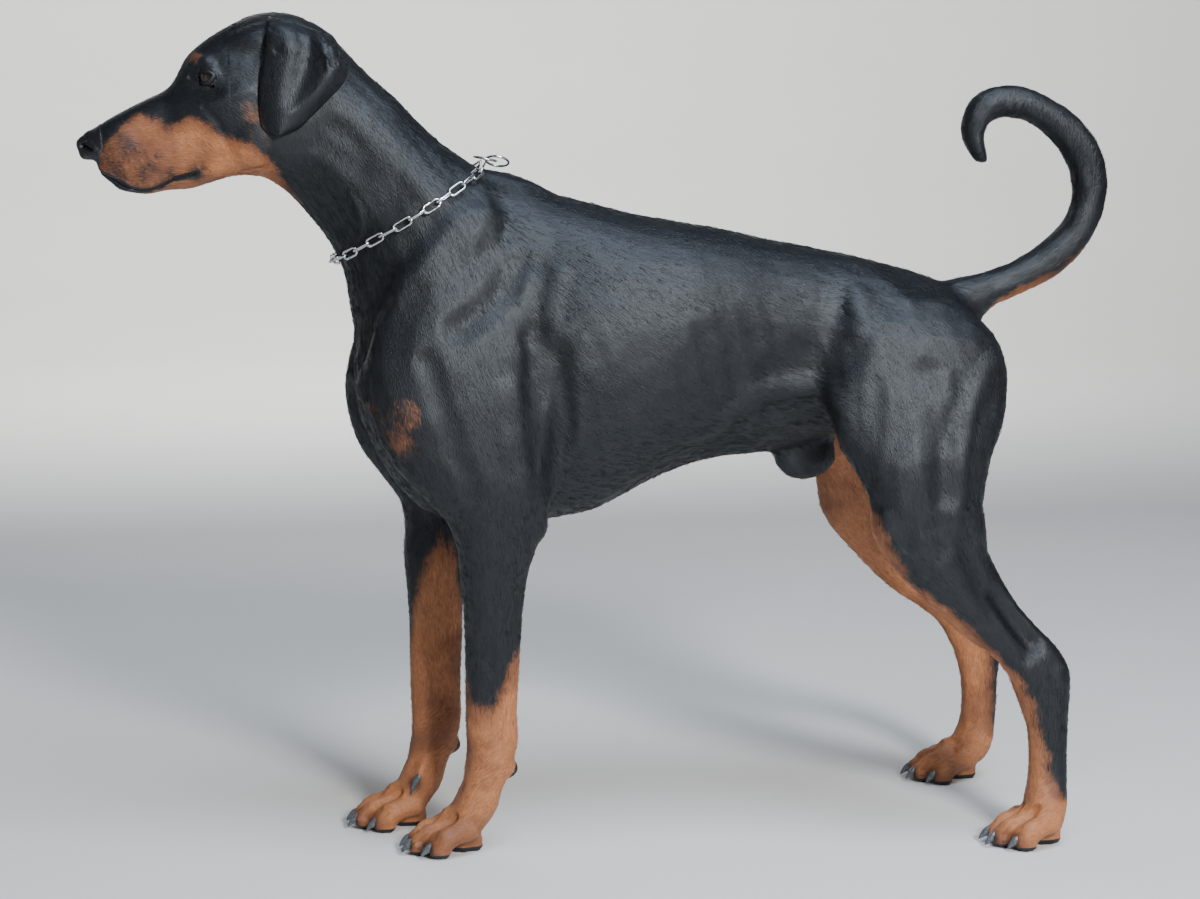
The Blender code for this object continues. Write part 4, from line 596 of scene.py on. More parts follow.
def mirrored(points):
    """The points with the right side folded on to the left one's mirror image, so that y is above 0."""
    folded = points.copy()
    folded[:, 1] = np.abs(folded[:, 1])
    return folded


# Skin

def solid_copy(node):
    """The node's solid in the dog's frame, its corners joined up."""
    bm = bmesh.new()
    bm.from_mesh(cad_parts[node].data)
    bmesh.ops.remove_doubles(bm, verts=bm.verts, dist=JOIN_DISTANCE)
    bmesh.ops.translate(bm, verts=bm.verts, vec=CENTRE)
    return bm


def fused(name, nodes):
    """The nodes' solids, grown enough to meet, melted into one closed surface."""
    joined = bmesh.new()
    for node in nodes:
        bm = solid_copy(node)
        bm.normal_update()
        for vertex in bm.verts:
            vertex.co += vertex.normal * GAP_CLOSING
        mesh = bpy.data.meshes.new(node)
        bm.to_mesh(mesh)
        bm.free()
        joined.from_mesh(mesh)
        bpy.data.meshes.remove(mesh)
    obj = object_from(name, joined)
    remesh = obj.modifiers.new("remesh", "REMESH")
    remesh.mode = "VOXEL"
    remesh.voxel_size = SKIN_VOXEL
    graph = bpy.context.evaluated_depsgraph_get()
    mesh = bpy.data.meshes.new_from_object(obj.evaluated_get(graph))
    obj.modifiers.clear()
    obj.data = mesh
    return obj


def body_weights(points):
    """How strongly to even the skin: most on the trunk, less on the legs and head, least on the feet."""
    head, legs, feet = (
        np.clip((points[:, "xyz".index(axis)] - start) / width, least, 1.0)
        for axis, start, width, least in EVENING.values()
    )
    return np.where(points[:, 2] > HEAD_LOW, head, 1.0) * legs * feet


def split_finer(mesh, chosen):
    """Splits each chosen face in four."""
    bm = bmesh.new()
    bm.from_mesh(mesh)
    bm.faces.ensure_lookup_table()
    edges = set()
    for i in np.flatnonzero(chosen):
        edges.update(bm.faces[i].edges)
    bmesh.ops.subdivide_edges(bm, edges=list(edges), cuts=1, use_grid_fill=True)
    bm.to_mesh(mesh)
    bm.free()


def head_and_feet(points, margin=0.0):
    head = (points[:, 0] < HEAD_BACK + margin) & (points[:, 2] > HEAD_LOW - margin)
    return head | (points[:, 2] < FEET_TOP + margin)


def face(points, margin=0.0):
    return (points[:, 0] < FACE_BACK + margin) & (points[:, 2] > HEAD_LOW)


def refine(mesh, chosen, margin):
    """Splits the chosen part finer, then evens it and a margin round it, less at the nose."""
    middles, _, _ = face_values(mesh)
    split_finer(mesh, chosen(middles))
    points = read_points(mesh)
    share = np.where(points[:, 0] < LEATHER_BACK, NOSE_SHARE, 1.0)
    soften(mesh, EVENINGS["finer"], share * chosen(points, margin))


class Surface:
    """A mesh's surface, to lay paths and points on."""

    def __init__(self, mesh):
        polygons = [tuple(polygon.vertices) for polygon in mesh.polygons]
        self.tree = BVHTree.FromPolygons(read_points(mesh).tolist(), polygons)

    def nearest(self, point):
        return self.tree.find_nearest(Vector(point))[:2]

    def laid(self, path):
        """The path, smooth and on the surface."""
        path = smooth_rows(path, PATH_STEPS) if len(path) > 1 else path
        return np.array([self.nearest(point)[0] for point in path])

    def reach(self, middle, ray):
        """How far the surface lies from the middle along the ray, looked for from outside."""
        hit = self.tree.ray_cast(middle + ray * OUTSIDE, -ray, OUTSIDE)[0]
        return (hit - middle).length


def placed(relief, place):
    path, radius, depth = relief
    return [np.add(place, step) for step in path], radius, depth


def both_sides(relief):
    """Each path on the left, and on the right moved by how far ahead or behind the leg stands there."""
    for path, radius, depth in relief:
        path = np.array(path, float)
        yield path * (1, -1, 1), radius, depth
        fore, hind = (np.interp(path[:, 2], *zip(*shift)) for shift in (FORE_SHIFT, HIND_SHIFT))
        ahead = np.where(path[:, 0] < 0, fore, hind)
        yield path + np.outer(ahead, (1, 0, 0)), radius, depth


def carve(mesh, surface, relief):
    """Presses and raises the mesh along the paths, each laid on the surface first."""
    points = read_points(mesh)
    normals = read_normals(mesh)
    moved = np.zeros(len(points))
    for path, radius, depth in relief:
        line = surface.laid(path)
        low = line.min(axis=0) - radius
        high = line.max(axis=0) + radius
        near = np.flatnonzero(((points > low) & (points < high)).all(axis=1))
        if not len(near):
            continue
        away = np.full(len(near), np.inf)
        for start, end in zip(line, line[1:] if len(line) > 1 else line):
            away = np.minimum(away, -bar_distance(points[near], start, end, 0.0, 0.0))
        fall = np.clip(1 - (away / radius) ** 2, 0, 1) ** 2
        in_the_middle = abs(line[:, 1]).max() < MIDDLE_WIDTH
        moved[near] -= fall * depth / (2 if in_the_middle else 1)
    write_points(mesh, points + normals * moved[:, None])


def ribs():
    """Faint ribs down each side of the chest."""
    return [placed(RIB, place) for place in np.linspace(RIB_FIRST, RIB_LAST, RIB_COUNT)]


def uneven(points):
    """A gentle unevenness of muscle and skin, as heights."""
    return np.array([noise.noise(Vector(point) / UNEVEN_WAVE) for point in points]) * UNEVEN_DEPTH


def toe_relief():
    """A groove between each two toes and a knuckle on each."""
    for node, place in CLAW_PLACES.items():
        paw, number = node[:-1], int(node[-1])
        if number > 1:
            yield placed(KNUCKLE, place)
        if 1 < number < 5:
            yield placed(TOE_GAP, (place + CLAW_PLACES[f"{paw}{number + 1}"]) / 2)


def make_skin():
    """The skin over all the flesh, with its relief, a coat's depth inside the solids."""
    flesh = [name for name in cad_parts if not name.startswith(("eye", "claw", "collar", "ear"))]
    skin = fused("skin", flesh)
    mesh = skin.data
    soften(mesh, EVENINGS["all"], body_weights(read_points(mesh)))
    refine(mesh, head_and_feet, HEAD_MARGIN)
    surface = Surface(mesh)
    carve(mesh, surface, both_sides([*BODY_RELIEF.values(), *ribs()]))
    carve(mesh, surface, toe_relief())
    refine(mesh, face, FACE_MARGIN)
    soften(mesh, EVENINGS["nose"], np.abs(read_points(mesh)[:, 0] - NOSE_EDGE[0]) < NOSE_EDGE[1])
    pads = [placed(WHISKER_PAD, spot) for spot in WHISKER_SPOTS]
    carve(mesh, surface, both_sides([*HEAD_RELIEF.values(), *pads]))
    points = read_points(mesh)
    inset = np.where(leather_depth(points) > 0, 0.0, COAT_DEPTH) + uneven(points) * (points[:, 0] > FACE_BACK)
    write_points(mesh, points - read_normals(mesh) * inset[:, None])
    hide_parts(*flesh)
    return skin, surface


def leg_axis(nodes):
    """The middle of a leg's solids at each height: heights, and the x and y there."""
    points = np.concatenate([read_points(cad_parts[node].data) for node in nodes]) + CENTRE
    heights = []
    middles = []
    for height in np.arange(*LEG_LEVELS):
        level = points[np.abs(points[:, 2] - height) < LEG_SLICE]
        if len(level) >= FEWEST_POINTS:
            heights.append(height)
            middles.append((level.min(axis=0) + level.max(axis=0)) / 2)
    middles = np.array(middles)
    return heights, middles[:, 0], middles[:, 1]


def from_axis(points, axis):
    """How far each point lies behind its leg's axis and out from it."""
    heights, ahead, across = axis
    middle_x = np.interp(points[:, 2], heights, ahead)
    middle_y = np.interp(points[:, 2], heights, np.abs(across))
    return points[:, 0] - middle_x, np.abs(points[:, 1]) - middle_y


def foreleg_tan(points, axis):
    back, out = from_axis(points, axis)
    angles, tops = zip(*FORELEG_TAN_TOPS)
    top = np.interp(np.degrees(np.arctan2(out, -back)), angles, tops)
    near = (np.abs(back) < FORELEG_REACH) & (points[:, 2] < FORELEG_TAN_END)
    return np.where(near, (top - points[:, 2]) * FORELEG_SLANT, -FAR)


def edge_at(z, edge):
    """The x at each height of an edge given from the top down."""
    x, heights = zip(*edge[::-1])
    return np.interp(z, heights, x)


def hindleg_tan(points, axis):
    _, out = from_axis(points, axis)
    inside = np.clip(0.5 - out / EDGE_TURN, 0, 1)
    x, z = points[:, 0], points[:, 2]
    outer = edge_at(z, SHIN_EDGE)
    inner = edge_at(z, INNER_EDGE)
    depth = (outer + (inner - outer) * inside - x) * HINDLEG_SLANT
    depth = np.minimum(depth, np.where(z > THIGH_LOW, x - THIGH_TAN_FRONT, FAR))
    depth = np.minimum(depth, HIND_TAN_TOP - z)
    return np.where((x > HIND_TAN_FRONT) & (np.abs(points[:, 1]) > HIND_TAN_INNERMOST), depth, -FAR)


def face_tan(points):
    across, tops = zip(*FACE_TAN_TOP)
    depth = (np.interp(points[:, 0], across, tops) - points[:, 2]) * FACE_SLANT
    return np.where((points[:, 0] < FACE_TAN_BACK) & (points[:, 2] > FACE_TAN_LOW), depth, -FAR)


def tan_depth(points):
    """How far each point lies inside the tan markings, in metres, below 0 in the black."""
    folded = mirrored(points)
    depth = face_tan(points)
    for bar in TAN_BARS.values():
        depth = np.maximum(depth, bar_distance(folded, *bar))
    for side_name, side in SIDES.items():
        here = points[:, 1] * side > 0
        fore = foreleg_tan(points, LEG_AXES["fore", side_name])
        hind = hindleg_tan(points, LEG_AXES["hind", side_name])
        depth = np.where(here, np.maximum(depth, np.maximum(fore, hind)), depth)
    for *bar, deepest in FAINT_BARS.values():
        depth = np.maximum(depth, np.minimum(bar_distance(folded, *bar), deepest))
    for bar in DUSKY_BARS.values():
        depth = np.minimum(depth, DUSKY_DEPTH + np.maximum(-bar_distance(folded, *bar), 0.0) * DUSKY_FADE)
    for bar in BLACK_BARS.values():
        depth = np.minimum(depth, -bar_distance(folded, *bar))
    for spot in WHISKER_SPOTS:
        depth = np.minimum(depth, -ball_distance(folded, spot, WHISKER_SPOT_RADIUS))
    for node, place in CLAW_PLACES.items():
        radius = DEWCLAW_SKIN_RADIUS if node.endswith("1") else CLAW_SKIN_RADIUS
        depth = np.minimum(depth, -ball_distance(points, place, radius))
    return depth


def leather_depth(points):
    """How far each point lies inside the bare dark skin: nose, lips, lids and pads."""
    folded = mirrored(points)
    back = LEATHER_BACK + (points[:, 2] - NOSE_LEATHER[0][2]) * LEATHER_LEAN
    depth = np.minimum(bar_distance(points, *NOSE_LEATHER), back - points[:, 0])
    mouth = HEAD_RELIEF["mouth line"][0]
    for first, last, start, end in zip(mouth, mouth[1:], LIP_WIDTHS, LIP_WIDTHS[1:]):
        lip = bar_distance(folded, first, last, start, end) - LIP_DROP * (folded[:, 2] > first[2])
        depth = np.maximum(depth, lip)
    for pad in CARPAL_PADS:
        depth = np.maximum(depth, ball_distance(points, pad, CARPAL_PAD_RADIUS))
    depth = np.maximum(depth, ball_distance(folded, EYE, LID_RADIUS))
    return np.maximum(depth, SOLE_SKIN_TOP - points[:, 2])


def lie_directions(points, normals):
    """The way that the hair points, at each point, along the surface."""
    folded = mirrored(points)
    total = np.zeros_like(points)
    for place, way in LIE:
        away = np.sum((folded - place) ** 2, axis=1)
        total += np.array(way)[None] / np.linalg.norm(way) / (away[:, None] + LIE_REACH**2) ** 2
    total[:, 1] *= np.sign(points[:, 1])
    total -= normals * np.sum(total * normals, axis=1)[:, None]
    return total / np.maximum(np.linalg.norm(total, axis=1), TINY)[:, None]


def paint(mesh, points, normals, shade, repeat=1):
    """Writes the markings, the tone and the grain's directions on the mesh, from the points given."""
    values = {"tan": tan_depth(points), "leather": leather_depth(points), "shade": shade}
    lie = lie_directions(points, normals)
    shares = []
    for way in GRAIN_DIRECTIONS:
        shares.append(np.abs(lie @ (np.array(way) / np.linalg.norm(way))) ** GRAIN_SHARPNESS)
    shares = np.array(shares) / np.sum(shares, axis=0)
    for number, share in enumerate(shares):
        values[f"grain_{number}"] = share
    for name, value in values.items():
        set_values(mesh, name, np.repeat(value, repeat))


# Coat

def along_spine(points, spine, side):
    """For each point: its depth in the round-ended bars along the spine, and its place on the
    surface unwrapped round them, across and along, each from 0 to 1."""
    spine = np.array(spine) * (1, side, 1, 1)
    spans = np.linalg.norm(np.diff(spine[:, :3], axis=0), axis=1)
    starts = np.concatenate([[0.0], np.cumsum(spans)])
    best = np.full(len(points), -np.inf)
    across = np.zeros(len(points))
    along = np.zeros(len(points))
    for i, span in enumerate(spans):
        first, last = spine[i], spine[i + 1]
        depth = bar_distance(points, first[:3], last[:3], first[3], last[3])
        way = (last[:3] - first[:3]) / span
        up = np.cross(way, (0, 1, 0))
        offset = points - first[:3]
        angle = np.arctan2(offset[:, 1], offset @ up)
        closer = depth > best
        best[closer] = depth[closer]
        across[closer] = angle[closer] / (2 * math.pi) + 0.5
        along[closer] = (starts[i] + offset @ way)[closer]
    low, high = along.min(), along.max()
    return best, across, (along - low) / (high - low)


def coat_parts():
    """Each part's name, settings and side."""
    for name, part in COAT.items():
        if name.endswith("leg"):
            for side_name, side in SIDES.items():
                yield f"coat_{name}_{side_name}", part, side
        else:
            yield f"coat_{name}", part, 1


def tuft_sizes(roots):
    """How much larger the tufts are, and how much further they stand out, at each root."""
    folded = mirrored(roots)
    size = np.ones(len(roots))
    for place, radius, times in STAND_OUT.values():
        away = np.sum((folded - place) ** 2, axis=1)
        size += (times - 1) * np.exp(-away / radius**2)
    small = np.ones(len(roots))
    for axis, least_at, full_at, least in SMALLER.values():
        t = np.clip((roots[:, "xyz".index(axis)] - least_at) / (full_at - least_at), 0, 1)
        small = np.minimum(small, least + (1 - least) * t)
    return size, small


def open_skin(middles):
    """True where hair grows."""
    away = np.linalg.norm(mirrored(middles) - EYE, axis=1)
    return (leather_depth(middles) < -BARE_MARGIN) & (away > EYE_MARGIN) & (middles[:, 2] > SOLE_TOP)


def make_tufts(name, spine, side, mesh, surface, picked, length, width, stand):
    """Solid tufts rooted on the picked faces: a bent blade of three sides each, lying along the skin."""
    middles, normals, areas = face_values(mesh)
    normals = normals[picked]
    roots = middles[picked] + random.uniform(-0.5, 0.5, (len(picked), 3)) * np.sqrt(areas[picked])[:, None]
    size, small = tuft_sizes(roots)
    lie = lie_directions(roots, normals)
    across = np.cross(normals, lie)
    lie = lie + across * random.normal(0, TUFT_SWAY, len(roots))[:, None]
    across = np.cross(normals, lie)
    length, width, stand = (
        (given * small * random.uniform(*TUFT_RANGES[key], len(roots)))[:, None]
        for key, given in (("length", length * (1 + size) / 2), ("width", width), ("stand", stand * size**2))
    )
    landed = [surface.nearest(point) for point in roots + lie * length]
    tips = np.array([place for place, _ in landed])
    tip_normals = np.array([normal for _, normal in landed])
    halfway = (roots + tips) / 2
    middle = (np.array([surface.nearest(point)[0] for point in halfway]) + halfway) / 2
    corners = np.stack([
        roots - across * width * ROOT_HALF - normals * TUFT_SINK,
        roots + across * width * ROOT_HALF - normals * TUFT_SINK,
        roots + normals * width * ROOT_RIDGE,
        middle - across * width * MIDDLE_HALF + normals * stand * MIDDLE_STAND,
        middle + across * width * MIDDLE_HALF + normals * stand * MIDDLE_STAND,
        middle + normals * (width * MIDDLE_RIDGE + stand * RIDGE_STAND),
        tips + tip_normals * stand,
    ], axis=1)
    _, u, v = along_spine(roots, spine, side)
    patch = (2 + np.array(BLADE_PATCH)) * TUFT_PATCH
    places = np.stack([u, v], axis=1)[:, None] * (1 - 4 * TUFT_PATCH) + patch
    coat = new_object(name, blades(name, corners, BLADE_FACES, places))
    own = read_normals(coat.data)
    skin_normals = np.repeat(normals, corners.shape[1], axis=0)
    mixed = own * TUFT_OWN_NORMAL + skin_normals * (1 - TUFT_OWN_NORMAL)
    coat.data.normals_split_custom_set_from_vertices(mixed / np.linalg.norm(mixed, axis=1)[:, None])
    paint(coat.data, roots, normals, random.uniform(0, 1, len(roots)), repeat=corners.shape[1])
    return coat


def blades(name, corners, faces, places):
    """One mesh of many like solids: their corners, the faces of one, and each corner's UV place."""
    count, each, _ = corners.shape
    pattern = np.concatenate(faces)
    loops = (np.arange(count)[:, None] * each + pattern).ravel()
    lengths = np.tile([len(face) for face in faces], count)
    mesh = bpy.data.meshes.new(name)
    mesh.vertices.add(count * each)
    mesh.loops.add(len(loops))
    mesh.polygons.add(len(lengths))
    mesh.vertices.foreach_set("co", corners.ravel())
    mesh.loops.foreach_set("vertex_index", loops)
    mesh.polygons.foreach_set("loop_start", np.concatenate([[0], np.cumsum(lengths)[:-1]]))
    mesh.polygons.foreach_set("loop_total", lengths)
    mesh.update(calc_edges=True)
    layer = mesh.uv_layers.new(name="OFBake")
    layer.data.foreach_set("uv", places.reshape(-1, 2)[loops].ravel())
    return mesh


def make_coat(mesh):
    """The coat over the skin, in one piece for each part of the body, its tufts' sizes running
    smoothly from part to part."""
    surface = Surface(mesh)
    middles, _, areas = face_values(mesh)
    parts = list(coat_parts())
    depths = np.array([along_spine(middles, part["spine"], side)[0] for _, part, side in parts])
    nearest = np.argmax(depths, axis=0)
    shares = np.exp((depths - depths.max(axis=0)) / PART_BLEND)
    shares /= shares.sum(axis=0)
    length, width, stand, cover = (
        np.array([part[key] for _, part, _ in parts]) @ shares
        for key in ("length", "width", "stand", "cover")
    )
    weights = areas * open_skin(middles) * cover / (length * width)
    picked = random.choice(len(middles), COAT_TUFTS, p=weights / weights.sum())
    made = []
    for number, (name, part, side) in enumerate(parts):
        here = picked[nearest[picked] == number]
        sizes = length[here], width[here], stand[here]
        made.append(make_tufts(name, part["spine"], side, mesh, surface, here, *sizes))
    return made


def make_ear_coat(side_name, ear):
    middles, _, areas = face_values(ear.data)
    picked = random.choice(len(middles), EAR_COAT["count"], p=areas / areas.sum())
    sizes = EAR_COAT["length"], EAR_COAT["width"], EAR_COAT["stand"]
    name = f"coat_ear_{side_name}"
    return make_tufts(name, EAR_COAT["spine"], SIDES[side_name], ear.data, Surface(ear.data), picked, *sizes)


# Materials

class Nodes:
    """A short way to write a material's nodes."""

    def __init__(self, name):
        self.material = bpy.data.materials.new(name)
        self.material.use_nodes = True
        self.tree = self.material.node_tree
        self.shader = self.tree.nodes["Principled BSDF"]

    def add(self, kind, **settings):
        node = self.tree.nodes.new(kind)
        for name, value in settings.items():
            setattr(node, name, value)
        return node

    def put(self, socket, value):
        if isinstance(value, bpy.types.NodeSocket):
            self.tree.links.new(value, socket)
        else:
            socket.default_value = value

    def value(self, name):
        return self.add("ShaderNodeAttribute", attribute_name=name).outputs["Fac"]

    def maths(self, operation, *values):
        node = self.add("ShaderNodeMath", operation=operation)
        for socket, value in zip(node.inputs, values):
            self.put(socket, value)
        return node.outputs[0]

    def spread(self, value, low, high, to_low=0.0, to_high=1.0):
        node = self.add("ShaderNodeMapRange")
        node.interpolation_type = "SMOOTHSTEP"
        for socket, given in zip(node.inputs, (value, low, high, to_low, to_high)):
            self.put(socket, given)
        return node.outputs[0]

    def places(self):
        return self.add("ShaderNodeTexCoord").outputs["Object"]

    def noise(self, scale, detail=2.0, where=None, roughness=0.5):
        node = self.add("ShaderNodeTexNoise")
        self.put(node.inputs["Vector"], self.places() if where is None else where)
        node.inputs["Scale"].default_value = scale
        node.inputs["Detail"].default_value = detail
        node.inputs["Roughness"].default_value = roughness
        return node.outputs["Fac"]

    def mix(self, share, first, second):
        node = self.add("ShaderNodeMix", data_type="RGBA")
        self.put(node.inputs["Factor"], share)
        self.put(node.inputs["A"], first)
        self.put(node.inputs["B"], second)
        return node.outputs["Result"]

    def stretched(self, direction, across, along):
        """Places measured along and across a direction, so that noise there becomes streaks."""
        turn = Vector(direction).to_track_quat("X", "Y").inverted().to_euler()
        rotate = self.add("ShaderNodeMapping")
        rotate.vector_type = "POINT"
        self.put(rotate.inputs["Vector"], self.places())
        rotate.inputs["Rotation"].default_value = turn
        scale = self.add("ShaderNodeMapping")
        self.put(scale.inputs["Vector"], rotate.outputs[0])
        scale.inputs["Scale"].default_value = (along, across, across)
        return scale.outputs[0]

    def bump(self, height, distance, strength=1.0, under=None):
        node = self.add("ShaderNodeBump")
        node.inputs["Distance"].default_value = distance
        node.inputs["Strength"].default_value = strength
        self.put(node.inputs["Height"], height)
        if under is not None:
            self.put(node.inputs["Normal"], under)
        return node.outputs[0]

    def set(self, **values):
        for name, value in values.items():
            self.put(self.shader.inputs[name.replace("_", " ")], value)


BLACK = (0.0022, 0.0024, 0.0031, 1)
BLACK_LIGHT = (0.0085, 0.0096, 0.0130, 1)
TAN = (0.290, 0.098, 0.033, 1)
TAN_LIGHT = (0.430, 0.175, 0.070, 1)
TAN_DARK = (0.095, 0.029, 0.011, 1)
LEATHER = (0.0070, 0.0070, 0.0078, 1)
# The tints of the coat's sheen and of its reflections
COAT_SHEEN = (0.62, 0.72, 0.95, 1)
COAT_GLOSS = (0.86, 0.93, 1.0, 1)
PUPIL = (0.002, 0.002, 0.002, 1)
IRIS_DARK = (0.008, 0.0035, 0.0022, 1)
IRIS_LIGHT = (0.022, 0.009, 0.0042, 1)
IRIS_RIM_COLOUR = (0.012, 0.007, 0.006, 1)
EYE_WHITE = (0.010, 0.007, 0.007, 1)
HORN_DARK = (0.030, 0.035, 0.044, 1)
HORN_LIGHT = (0.110, 0.120, 0.138, 1)
STEEL = (0.66, 0.67, 0.69, 1)
STEEL_TARNISHED = (0.40, 0.40, 0.41, 1)
FLOOR_DARK = (0.70, 0.70, 0.69, 1)
FLOOR_LIGHT = (0.74, 0.74, 0.73, 1)
# How many times a metre each pattern repeats: streaks across and along them, and the others
HAIR_STREAKS = (950, 130)
HORN_LINES = (1400, 160)
PATTERNS = {
    "ragged edge": 55, "smoke": 16, "ripples": 38, "pebbles": 900,
    "iris rays": 900, "tarnish": 220, "scratches": 2600, "floor": 3,
}
# How far the streaks, the ragged edge and a tuft's own shade move the edge of the tan, the depths
# at which the tan then begins and is full, and those between which it is darker
EDGE_MOVES = (0.010, 0.014, 0.004)
TAN_EDGE = (0.0095, 0.0185)
DARK_EDGE = (0.012, 0.001)
LEATHER_EDGE = (-0.0006, 0.0006)


def grain(nodes):
    """Fine streaks along the hair, from noise stretched along a few directions and mixed by the lie."""
    total = None
    for number, direction in enumerate(GRAIN_DIRECTIONS):
        streak = nodes.noise(1, 2, nodes.stretched(direction, *HAIR_STREAKS), 0.6)
        part = nodes.maths("MULTIPLY", streak, nodes.value(f"grain_{number}"))
        total = part if total is None else nodes.maths("ADD", total, part)
    return total


def coat_material(name, bare):
    """Short glossy hair, black with tan markings; with bare, also the nose, lips, lids and pads."""
    nodes = Nodes(name)
    streaks = grain(nodes)
    shade = nodes.value("shade")
    ragged = nodes.noise(PATTERNS["ragged edge"], 3)
    edge = nodes.value("tan")
    for value, most in zip((streaks, ragged, shade), EDGE_MOVES):
        edge = nodes.maths("MULTIPLY_ADD", value, most, edge)
    is_tan = nodes.spread(edge, *TAN_EDGE)
    tone = nodes.maths("MULTIPLY_ADD", shade, 0.12, streaks)
    black = nodes.mix(nodes.spread(tone, 0.50, 0.76), BLACK, BLACK_LIGHT)
    tan = nodes.mix(nodes.spread(tone, 0.42, 0.70), TAN, TAN_LIGHT)
    smoky = nodes.spread(nodes.noise(PATTERNS["smoke"], 3), 0.55, 0.30, 0.0, 0.6)
    near_edge = nodes.spread(nodes.value("tan"), *DARK_EDGE, 0.0, 0.55)
    for dark in (smoky, near_edge):
        tan = nodes.mix(dark, tan, TAN_DARK)
    colour = nodes.mix(is_tan, black, tan)
    rough = nodes.maths("MULTIPLY_ADD", streaks, 0.22, 0.37)
    rough = nodes.maths("MULTIPLY_ADD", is_tan, 0.12, rough)
    bump = nodes.bump(nodes.noise(PATTERNS["ripples"], 2), 0.0008, 0.5)
    bump = nodes.bump(streaks, 0.0009, 0.75, bump)
    if bare:
        is_bare = nodes.spread(nodes.value("leather"), *LEATHER_EDGE)
        colour = nodes.mix(is_bare, colour, LEATHER)
        pebbles = nodes.add("ShaderNodeTexVoronoi")
        nodes.put(pebbles.inputs["Vector"], nodes.places())
        nodes.put(pebbles.inputs["Scale"], PATTERNS["pebbles"])
        pebbled = nodes.bump(pebbles.outputs["Distance"], 0.0004, 0.5)
        rough = nodes.maths("MULTIPLY_ADD", is_bare, -0.05, rough)
        choose = nodes.add("ShaderNodeMix", data_type="VECTOR")
        for socket, value in (("Factor", is_bare), (4, bump), (5, pebbled)):
            nodes.put(choose.inputs[socket], value)
        bump = choose.outputs[1]
    nodes.set(Base_Color=colour, Roughness=rough, Normal=bump)
    nodes.set(Sheen_Weight=0.02, Sheen_Roughness=0.40, Sheen_Tint=COAT_SHEEN)
    nodes.set(Specular_IOR_Level=0.46, Specular_Tint=COAT_GLOSS)
    return nodes.material


def eye_material():
    """Pupil, brown iris with fine rays and a darker rim, and dark white, under a wet clear coat."""
    nodes = Nodes("eye_wet")
    angle = nodes.value("angle")
    rays = nodes.spread(nodes.noise(PATTERNS["iris rays"], 3), 0.35, 0.65)
    iris = nodes.mix(rays, IRIS_DARK, IRIS_LIGHT)
    iris = nodes.mix(nodes.spread(angle, *IRIS_RIM), iris, IRIS_RIM_COLOUR)
    colour = nodes.mix(nodes.spread(angle, *IRIS_EDGE), iris, EYE_WHITE)
    colour = nodes.mix(nodes.spread(angle, *PUPIL_EDGE), PUPIL, colour)
    nodes.set(Base_Color=colour, Roughness=0.12, Coat_Weight=1.0, Coat_Roughness=0.02)
    return nodes.material


def claw_material():
    """Dark grey horn with fine growth lines."""
    nodes = Nodes("claw_horn")
    lines = nodes.noise(1, 2, nodes.stretched((0.9, 0, -0.4), *HORN_LINES))
    colour = nodes.mix(nodes.spread(lines, 0.35, 0.65), HORN_DARK, HORN_LIGHT)
    rough = nodes.maths("MULTIPLY_ADD", lines, 0.2, 0.26)
    nodes.set(Base_Color=colour, Roughness=rough, Normal=nodes.bump(lines, 0.0003, 0.5))
    nodes.set(Coat_Weight=0.25, Coat_Roughness=0.2)
    return nodes.material


def steel_material():
    """Polished steel wire with a little tarnish and fine scratches."""
    nodes = Nodes("chain_steel_polished")
    tarnish = nodes.noise(PATTERNS["tarnish"], 4)
    scratches = nodes.noise(PATTERNS["scratches"], 2)
    colour = nodes.mix(nodes.spread(tarnish, 0.5, 0.75), STEEL, STEEL_TARNISHED)
    rough = nodes.spread(tarnish, 0.3, 0.8, 0.10, 0.30)
    nodes.set(Base_Color=colour, Metallic=1.0, Roughness=rough, Normal=nodes.bump(scratches, 0.0001, 0.3))
    return nodes.material


def floor_material():
    nodes = Nodes("pale_floor")
    nodes.set(Base_Color=nodes.mix(nodes.noise(PATTERNS["floor"], 3), FLOOR_DARK, FLOOR_LIGHT), Roughness=0.7)
    return nodes.material


# Pieces

def eye_frame(side):
    middle = Vector((EYE[0], side * EYE[1], EYE[2]))
    gaze = Vector((GAZE[0], side * GAZE[1], GAZE[2])).normalized()
    return middle, gaze


def make_eye(side_name):
    """The eyeball, with the cornea's slight bulge, and each point's angle from its axis."""
    middle, gaze = eye_frame(SIDES[side_name])
    bm = bmesh.new()
    turn = gaze.to_track_quat("Z", "Y").to_matrix().to_4x4()
    bmesh.ops.create_uvsphere(bm, u_segments=64, v_segments=48, radius=EYE_RADIUS)
    for vertex in bm.verts:
        angle = vertex.co.angle(Vector((0, 0, 1)), 0.0)
        vertex.co *= 1 + CORNEA_BULGE * max(0.0, 1 - (angle / IRIS_ANGLE) ** 2)
    bmesh.ops.transform(bm, matrix=Matrix.Translation(middle) @ turn, verts=bm.verts)
    eye = object_from(f"eyeball_{side_name}", bm)
    away = read_points(eye.data) - np.array(middle)
    cosines = away @ np.array(gaze) / np.linalg.norm(away, axis=1)
    set_values(eye.data, "angle", np.arccos(np.clip(cosines, -1, 1)))
    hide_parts(f"eye_{side_name}")
    dress(eye, eye_material())
    return eye


